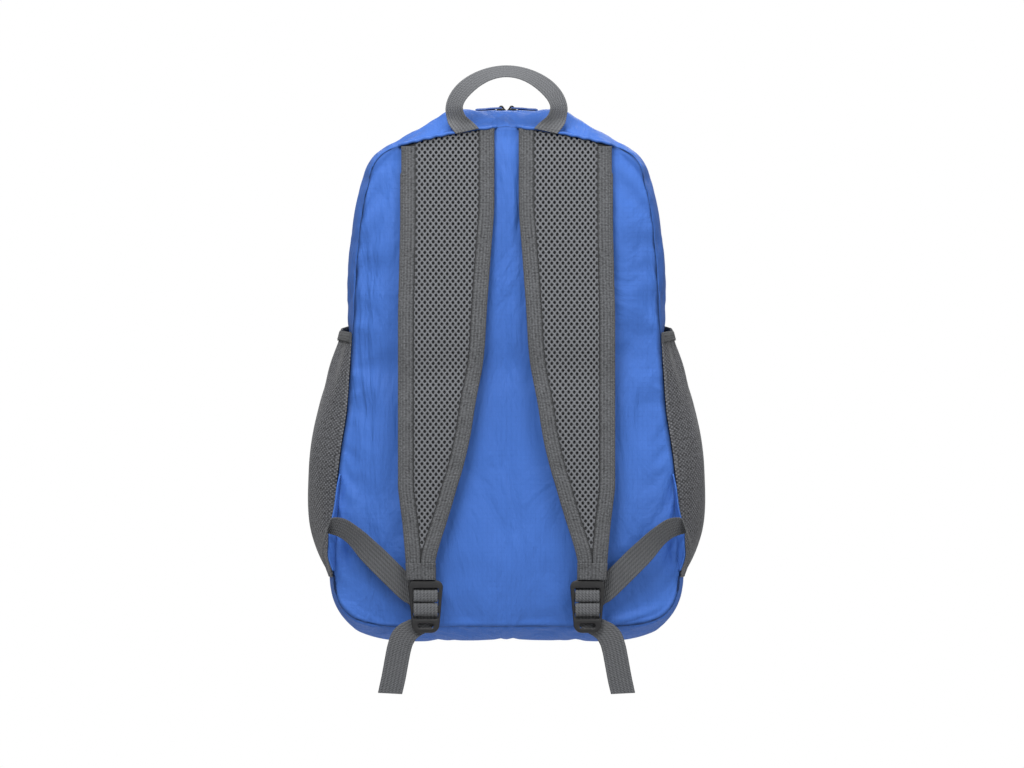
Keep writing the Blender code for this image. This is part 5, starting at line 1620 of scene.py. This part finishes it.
    def tape(self, word, side, which):
        """A binding tape folded round one edge of the pad."""
        share = np.linspace(0.0, 1.0, 170)
        inner = which == "inner"
        x, z = strap_edge(share, inner)
        width = STRAP_TOP_WIDTH * read(STRAP_ROWS, share, 2)
        tape = tape_width(width)
        inward = 1.0 if inner else -1.0
        wave = 0.10 * MM * ripple(share * 0.37, 21 if inner else 22, 180.0, 420.0)
        section = []
        for height in (1.0, -1.0):
            outer = [
                (tape, 0.72), (tape - 0.25 * MM, 0.98), (tape * 0.72, 1.0), (tape * 0.5, 1.03),
                (tape * 0.28, 1.03), (tape * 0.0 + 1.6 * MM, 1.0), (tape * 0.0 + 0.6 * MM, 0.86),
                (tape * 0.0 + 0.1 * MM, 0.5),
            ]
            outer = outer if height > 0.0 else outer[::-1]
            section += [(place, height * level * TAPE_HALF) for place, level in outer]
        low = PAD_EDGE / 2.0 + 0.1 * MM
        fold = tape * 0.0 + 1.2 * MM
        section += [(tape, -low), (fold, -low * 0.8), (fold, low * 0.8), (tape, low)]
        depth = strap_depth(share)
        rings = []
        step = (0.0 if inner else 0.9 * MM) * (1.0 - ease(0.060, 0.064, share))
        for place, height in section:
            grown = wave * (1.0 if height > 0.0 else -0.4) + np.sign(height) * step * 0.5
            narrow = np.where(place < 2.0 * MM, step, 0.0)
            rings.append(np.stack([x + inward * (place + narrow), -(depth + height + grown), z], -1))
        points = mirror(np.stack(rings, 1), side)
        count = len(section)
        place = np.linspace(0.0, 0.034, count + 1)
        uv = np.stack(np.broadcast_arrays(place[None], (share * 0.372)[:, None]), -1)
        name = "%s_strap_%s_binding" % (word, which)
        mesh = cap_ends(grid_mesh(name, points, uv, tube=True), count, 170)
        add(name, mesh, look("binding"), nodes=["%s_strap_%s_tape" % (word, which)])


# Buckles, webbing and handle

def buckle_centre(side):
    """The top middle of a buckle."""
    outer_x, outer_z = strap_edge(1.0)
    inner_x, inner_z = strap_edge(1.0, True)
    x = side * ((outer_x + inner_x) / 2.0 - BUCKLE_SHIFT)
    return Vector((float(x), -strap_middle(1.0), float((outer_z + inner_z) / 2.0) - GAP))


def rounded(half_top, half_bottom, top, bottom, radius_top, radius_bottom, steps):
    """An outline with round corners."""
    corners = [
        (half_top - radius_top, top - radius_top, radius_top, 0.0),
        (-half_top + radius_top, top - radius_top, radius_top, 90.0),
        (-half_bottom + radius_bottom, bottom + radius_bottom, radius_bottom, 180.0),
        (half_bottom - radius_bottom, bottom + radius_bottom, radius_bottom, 270.0),
    ]
    outline = []
    for x, z, radius, start in corners:
        for step in range(steps + 1):
            turn = math.radians(start + 90.0 * step / steps)
            outline.append((x + radius * math.cos(turn), z + radius * math.sin(turn)))
    return outline


class BACKPACK_OT_buckles(bpy.types.Operator):
    """Make the two ladder-lock buckles with rounded moulded edges"""

    bl_idname = "backpack.buckles"
    bl_label = "Buckles"

    def execute(self, context):
        window = 10.4 * MM
        outlines = [
            rounded(BUCKLE_WIDTH / 2.0, BUCKLE_END_WIDTH / 2.0, 0.0, -BUCKLE_HEIGHT, 5.5 * MM, 7.0 * MM, 9),
            rounded(window, window, -6.5 * MM, -10.5 * MM, 1.0 * MM, 1.0 * MM, 4),
            rounded(window, window, -15.5 * MM, -21.4 * MM, 1.0 * MM, 1.0 * MM, 4),
            rounded(window, window * 0.97, -26.6 * MM, -32.0 * MM, 1.0 * MM, 1.6 * MM, 4),
            rounded(6.5 * MM, 6.5 * MM, -35.5 * MM, -39.5 * MM, 1.9 * MM, 1.9 * MM, 5),
        ]
        bevel = 0.8 * MM
        for word, side in SIDES:
            curve = bpy.data.curves.new(word + "_buckle_plate", "CURVE")
            curve.dimensions = "2D"
            curve.fill_mode = "BOTH"
            curve.extrude = BUCKLE_THICKNESS / 2.0 - bevel
            curve.bevel_depth = bevel
            curve.bevel_resolution = 3
            curve.offset = -bevel
            for outline in outlines:
                spline = curve.splines.new("POLY")
                spline.points.add(len(outline) - 1)
                for point, (x, z) in zip(spline.points, outline):
                    point.co = (x, z, 0.0, 1.0)
                spline.use_cyclic_u = True
            holder = bpy.data.objects.new("plate", curve)
            context.scene.collection.objects.link(holder)
            context.view_layer.update()
            mesh = bpy.data.meshes.new_from_object(holder.evaluated_get(context.evaluated_depsgraph_get()))
            bpy.data.objects.remove(holder, do_unlink=True)
            centre = buckle_centre(side)
            for vert in mesh.vertices:
                vert.co = centre + Vector((vert.co.x, vert.co.z, vert.co.y))
            clean_mesh(mesh, merge=0.005 * MM)
            mesh.shade_smooth()
            mesh.set_sharp_from_angle(angle=math.radians(50.0))
            add(word + "_ladder_lock", mesh, look("acetal"), nodes=[word + "_buckle"])
        return {"FINISHED"}


def bar_rows(rows, centre, drop, side):
    """The x, y, z and width direction of webbing round a bar of a buckle."""
    return [
        [centre.x, centre.y + back * MM, centre.z - drop + up * MM, -side, 0.0, 0.0, 0.85 if up > 12.0 else 1.0]
        for back, up in rows
    ]


class BACKPACK_OT_webbing(bpy.types.Operator):
    """Make the adjusting webbing and the fixed loops of the buckles"""

    bl_idname = "backpack.webbing"
    bl_label = "Webbing"

    def execute(self, context):
        bands = context.scene.backpack_bands
        for word, side in SIDES:
            centre = buckle_centre(side)
            name = word + "_buckle_webbing_loop"
            rows = bar_rows(LOOP_ROWS, centre, LOOP_BAR_DROP, side)
            mesh = band_mesh(name, rows, 110, bands.width, bands.wall, bands.ribs, bands.rib_height)
            add(name, mesh, look("webbing"), nodes=[word + "_buckle_loop"])
            name = word + "_adjusting_webbing"
            rows = self.route(centre, side)
            mesh = band_mesh(name, rows, 420, bands.width, bands.wall, bands.ribs, bands.rib_height)
            add(name, mesh, look("webbing"), nodes=[word + "_webbing"])
        return {"FINISHED"}

    def route(self, centre, side):
        """From the side seam through the buckle to the free end."""
        start_z = BACK_TOP - WEBBING_SEAM_DOWN * BACK_HEIGHT
        start_x = side * (float(half_width(start_z)) + WEBBING_SEAM_OUT)
        bar_z = centre.z - WEB_BAR_DROP
        rows = []
        for across, back, up, turn, lean, width in INCOMING_ROWS:
            over = direction(turn, lean)
            rows.append([
                start_x + (centre.x - start_x) * across, centre.y * back, start_z + (start_z - bar_z) * up,
                -side * over[0], over[1], over[2], width,
            ])
        rows += bar_rows(WEB_BAR_ROWS, centre, WEB_BAR_DROP, side)
        for across, back, up, turn, lean, width in TAIL_ROWS:
            over = direction(turn, lean)
            rows.append([
                centre.x + side * TAIL_REACH_X * across, centre.y + back * MM, bar_z - TAIL_REACH_Z * up,
                -side * over[0], over[1], over[2], width,
            ])
        return rows


class BACKPACK_OT_wings(bpy.types.Operator):
    """Make the cloth tabs at the side seams"""

    bl_idname = "backpack.wings"
    bl_label = "Wings"

    def execute(self, context):
        share = np.linspace(0.0, 1.0, 60)
        place = np.linspace(0.0, 1.0, 18)
        z = BACK_TOP - (WING_TOP + (WING_BOTTOM - WING_TOP) * share) * BACK_HEIGHT
        x = half_width(z) - WING_INSET
        out = WING_OUT * read(WING_ROWS, share)
        lean = WING_OUT * read(WING_ROWS, share, 2)
        near = CLOTH + 2.0 * GAP
        for word, side in SIDES:
            points = np.zeros((60, 18, 3))
            wave = 0.35 * MM * np.sin(share * 14.0)
            points[..., 0] = side * (x[:, None] + lean[:, None] * place ** 1.5 + wave[:, None] * place)
            points[..., 1] = -(near + out[:, None] * place)
            points[..., 2] = z[:, None]
            uv = np.stack(np.broadcast_arrays(out[:, None] * place, z[:, None]), -1)
            name = word + "_wing_cloth"
            mesh = grid_mesh(name, points, uv)
            made = add(name, mesh, look("shell"), nodes=[word + "_wing"])
            wall(made, 1.3 * MM, offset=0.0)
        return {"FINISHED"}


class BACKPACK_OT_handle(bpy.types.Operator):
    """Make the webbing grab handle"""

    bl_idname = "backpack.handle"
    bl_label = "Grab Handle"

    def execute(self, context):
        bands = context.scene.backpack_bands
        base = float(top_seam(HANDLE_BASE_X)) + GAP * 2.0
        rows = []
        for turned, table in ((-1.0, HANDLE_ROWS), (1.0, HANDLE_ROWS[-2::-1])):
            for across, up, back, turn, lean in table:
                over = direction(turn, -lean)
                rows.append([
                    turned * HANDLE_SPAN * across, back * MM, base + HANDLE_RISE * up,
                    turned * over[0], over[1], -over[2], 1.0,
                ])
        rib_height = bands.rib_height * 1.3
        mesh = band_mesh("grab_handle_webbing", rows, 220, bands.width, bands.wall, bands.ribs, rib_height)
        add("grab_handle_webbing", mesh, look("handle"), nodes=["grab_handle"])
        return {"FINISHED"}


# Stitches

class BACKPACK_OT_stitches(bpy.types.Operator):
    """Sew the topstitching along the zip, the tapes, the pockets and the straps"""

    bl_idname = "backpack.stitches"
    bl_label = "Stitches"

    def execute(self, context):
        bands = context.scene.backpack_bands
        blue, grey = [], []
        shares = np.linspace(0.0, ZIP_END, 160)
        for word, side in SIDES:
            for offset in (-ZIP_SLOT / 2.0 - 2.2 * MM, ZIP_SLOT / 2.0 + 2.2 * MM):
                normal = gusset_normal(shares, ZIP_PLACE)
                blue.append(mirror(zip_line(shares, offset) + normal * 0.1 * MM, side))
            grey += self.strap_lines(side)
            through = np.linspace(0.02, 0.98, 90)
            normal = gusset_normal(POCKET_RIM - POCKET_RIM_RISE * through, through)
            binding = 8.0 * MM / ((POCKET_BOTTOM - POCKET_RIM) * SEAM_LENGTH)
            line = pocket(np.full(90, binding * 0.82), through) + normal * 1.5 * MM
            grey.append(mirror(line, side))
        sizes = (bands.stitch_pitch, bands.stitch_length, bands.thread)
        stitched("blue_stitches", blue, look("blue_thread"), *sizes)
        stitched("grey_stitches", grey, look("grey_thread"), *sizes)
        return {"FINISHED"}

    def strap_lines(self, side):
        """Rows of stitches on one strap: along both tapes and the bar at the bottom."""
        lines = []
        share = np.linspace(0.004, 0.985, 200)
        depth = strap_depth(share)
        width = STRAP_TOP_WIDTH * read(STRAP_ROWS, share, 2)
        tape = tape_width(width)
        for inner, inward in ((False, -1.0), (True, 1.0)):
            x, z = strap_edge(share, inner)
            for face in (1.0, -1.0):
                y = -(depth + face * (TAPE_HALF + 0.02 * MM))
                lines.append(mirror(np.stack([x + inward * (tape - 2.0 * MM), y, z], -1), side))
        for level in (0.965, 0.975, 0.985):
            outer_x, outer_z = strap_edge(level)
            inner_x, inner_z = strap_edge(level, True)
            place = np.linspace(0.06, 0.94, 20)
            x = outer_x + (inner_x - outer_x) * place
            z = outer_z + (inner_z - outer_z) * place
            depth = np.full(20, -(strap_depth(level) + TAPE_HALF + 0.05 * MM))
            lines.append(mirror(np.stack([x, depth, z], -1), side))
        return lines


# Stage

class BACKPACK_OT_stage(bpy.types.Operator):
    """Set the floor, the lights and the camera"""

    bl_idname = "backpack.stage"
    bl_label = "Stage"

    def execute(self, context):
        stage = context.scene.backpack_stage
        turns = np.linspace(0.0, 2.0 * math.pi, 65)[:-1]
        mesh = bpy.data.meshes.new("floor")
        rim = [(1.6 * math.cos(turn), 1.6 * math.sin(turn), stage.floor) for turn in turns]
        mesh.from_pydata(rim, [], [tuple(range(64))])
        floor = bpy.data.objects.new("floor", mesh)
        context.scene.collection.objects.link(floor)
        paint = Finish("Pale Floor", (0.62, 0.62, 0.62), 0.8)
        paint.tint(paint.noise(paint.spot(), 3.0), 0.98, 1.02)
        mesh.materials.append(paint.made)
        world = bpy.data.worlds.new("Studio")
        world.use_nodes = True
        room = world.node_tree.nodes["Background"]
        room.inputs["Color"].default_value = (1.0, 1.0, 1.0, 1.0)
        make, join = world.node_tree.nodes.new, world.node_tree.links.new
        way = make("ShaderNodeTexCoord")
        split = make("ShaderNodeSeparateXYZ")
        seen = make("ShaderNodeLightPath")
        height, level = make("ShaderNodeMapRange"), make("ShaderNodeMapRange")
        join(way.outputs["Generated"], split.inputs[0])
        join(split.outputs["Z"], height.inputs["Value"])
        height.inputs["From Min"].default_value = -0.6
        height.inputs["From Max"].default_value = 0.6
        height.inputs["To Min"].default_value = stage.ambient * 0.1
        height.inputs["To Max"].default_value = stage.ambient * 1.75
        join(seen.outputs["Is Camera Ray"], level.inputs["Value"])
        join(height.outputs[0], level.inputs["To Min"])
        level.inputs["To Max"].default_value = 1.0
        join(level.outputs[0], room.inputs["Strength"])
        context.scene.world = world
        target = Vector((0.0, 0.02, -0.25))
        for name, spot, size, power in (
            ("key", (-0.8, -2.2, 1.5), 1.3, 60.0), ("fill", (1.5, -2.0, 0.5), 1.5, 24.0),
            ("top", (0.0, -0.4, 1.8), 1.0, 28.0), ("rear", (0.3, 2.2, 0.8), 1.4, 12.0),
        ):
            light = bpy.data.lights.new(name, "AREA")
            light.shape = "DISK"
            light.size = size
            light.energy = power
            lamp = bpy.data.objects.new(name, light)
            context.scene.collection.objects.link(lamp)
            lamp.location = spot
            lamp.rotation_euler = (target - Vector(spot)).to_track_quat("-Z", "Y").to_euler()
        data = bpy.data.cameras.new("camera")
        data.lens = stage.lens
        data.sensor_width = 36.0
        data.clip_end = 50.0
        data.clip_start = 0.05
        camera = bpy.data.objects.new("camera", data)
        context.scene.collection.objects.link(camera)
        camera.location = (stage.frame_x, -stage.frame_width * stage.lens / 36.0, stage.frame_z)
        camera.rotation_euler = (math.radians(90.0), 0.0, 0.0)
        context.scene.camera = camera
        context.scene.view_settings.view_transform = "Standard"
        return {"FINISHED"}


OPERATORS = (
    BACKPACK_OT_stage, BACKPACK_OT_shell, BACKPACK_OT_zip, BACKPACK_OT_pockets, BACKPACK_OT_straps,
    BACKPACK_OT_buckles, BACKPACK_OT_webbing, BACKPACK_OT_wings, BACKPACK_OT_handle, BACKPACK_OT_stitches,
)
GROUPS = {
    "backpack_colours": BackpackColours, "backpack_shell": BackpackShell, "backpack_bands": BackpackBands,
    "backpack_stage": BackpackStage,
}


class BACKPACK_PT_looks(bpy.types.Panel):
    """Lists the pieces of the backpack"""

    bl_idname = "BACKPACK_PT_looks"
    bl_label = "Packable Backpack"
    bl_space_type = "VIEW_3D"
    bl_region_type = "UI"
    bl_category = "Backpack"

    def draw(self, context):
        for operator in OPERATORS:
            self.layout.operator(operator.bl_idname)
        for name in GROUPS:
            box = self.layout.box()
            group = getattr(context.scene, name)
            for label in group.__annotations__:
                box.prop(group, label)


def register():
    """Register the settings, the operators and the panel."""
    for name, group in GROUPS.items():
        bpy.utils.register_class(group)
        setattr(bpy.types.Scene, name, PointerProperty(type=group))
    for operator in OPERATORS:
        bpy.utils.register_class(operator)
    bpy.utils.register_class(BACKPACK_PT_looks)


def unregister():
    """Take everything out again."""
    bpy.utils.unregister_class(BACKPACK_PT_looks)
    for operator in reversed(OPERATORS):
        bpy.utils.unregister_class(operator)
    for name, group in GROUPS.items():
        delattr(bpy.types.Scene, name)
        bpy.utils.unregister_class(group)


def main():
    """Register, and make every piece in order."""
    register()
    for operator in OPERATORS:
        group, name = operator.bl_idname.split(".")
        getattr(getattr(bpy.ops, group), name)()


if __name__ == "__main__":
    main()
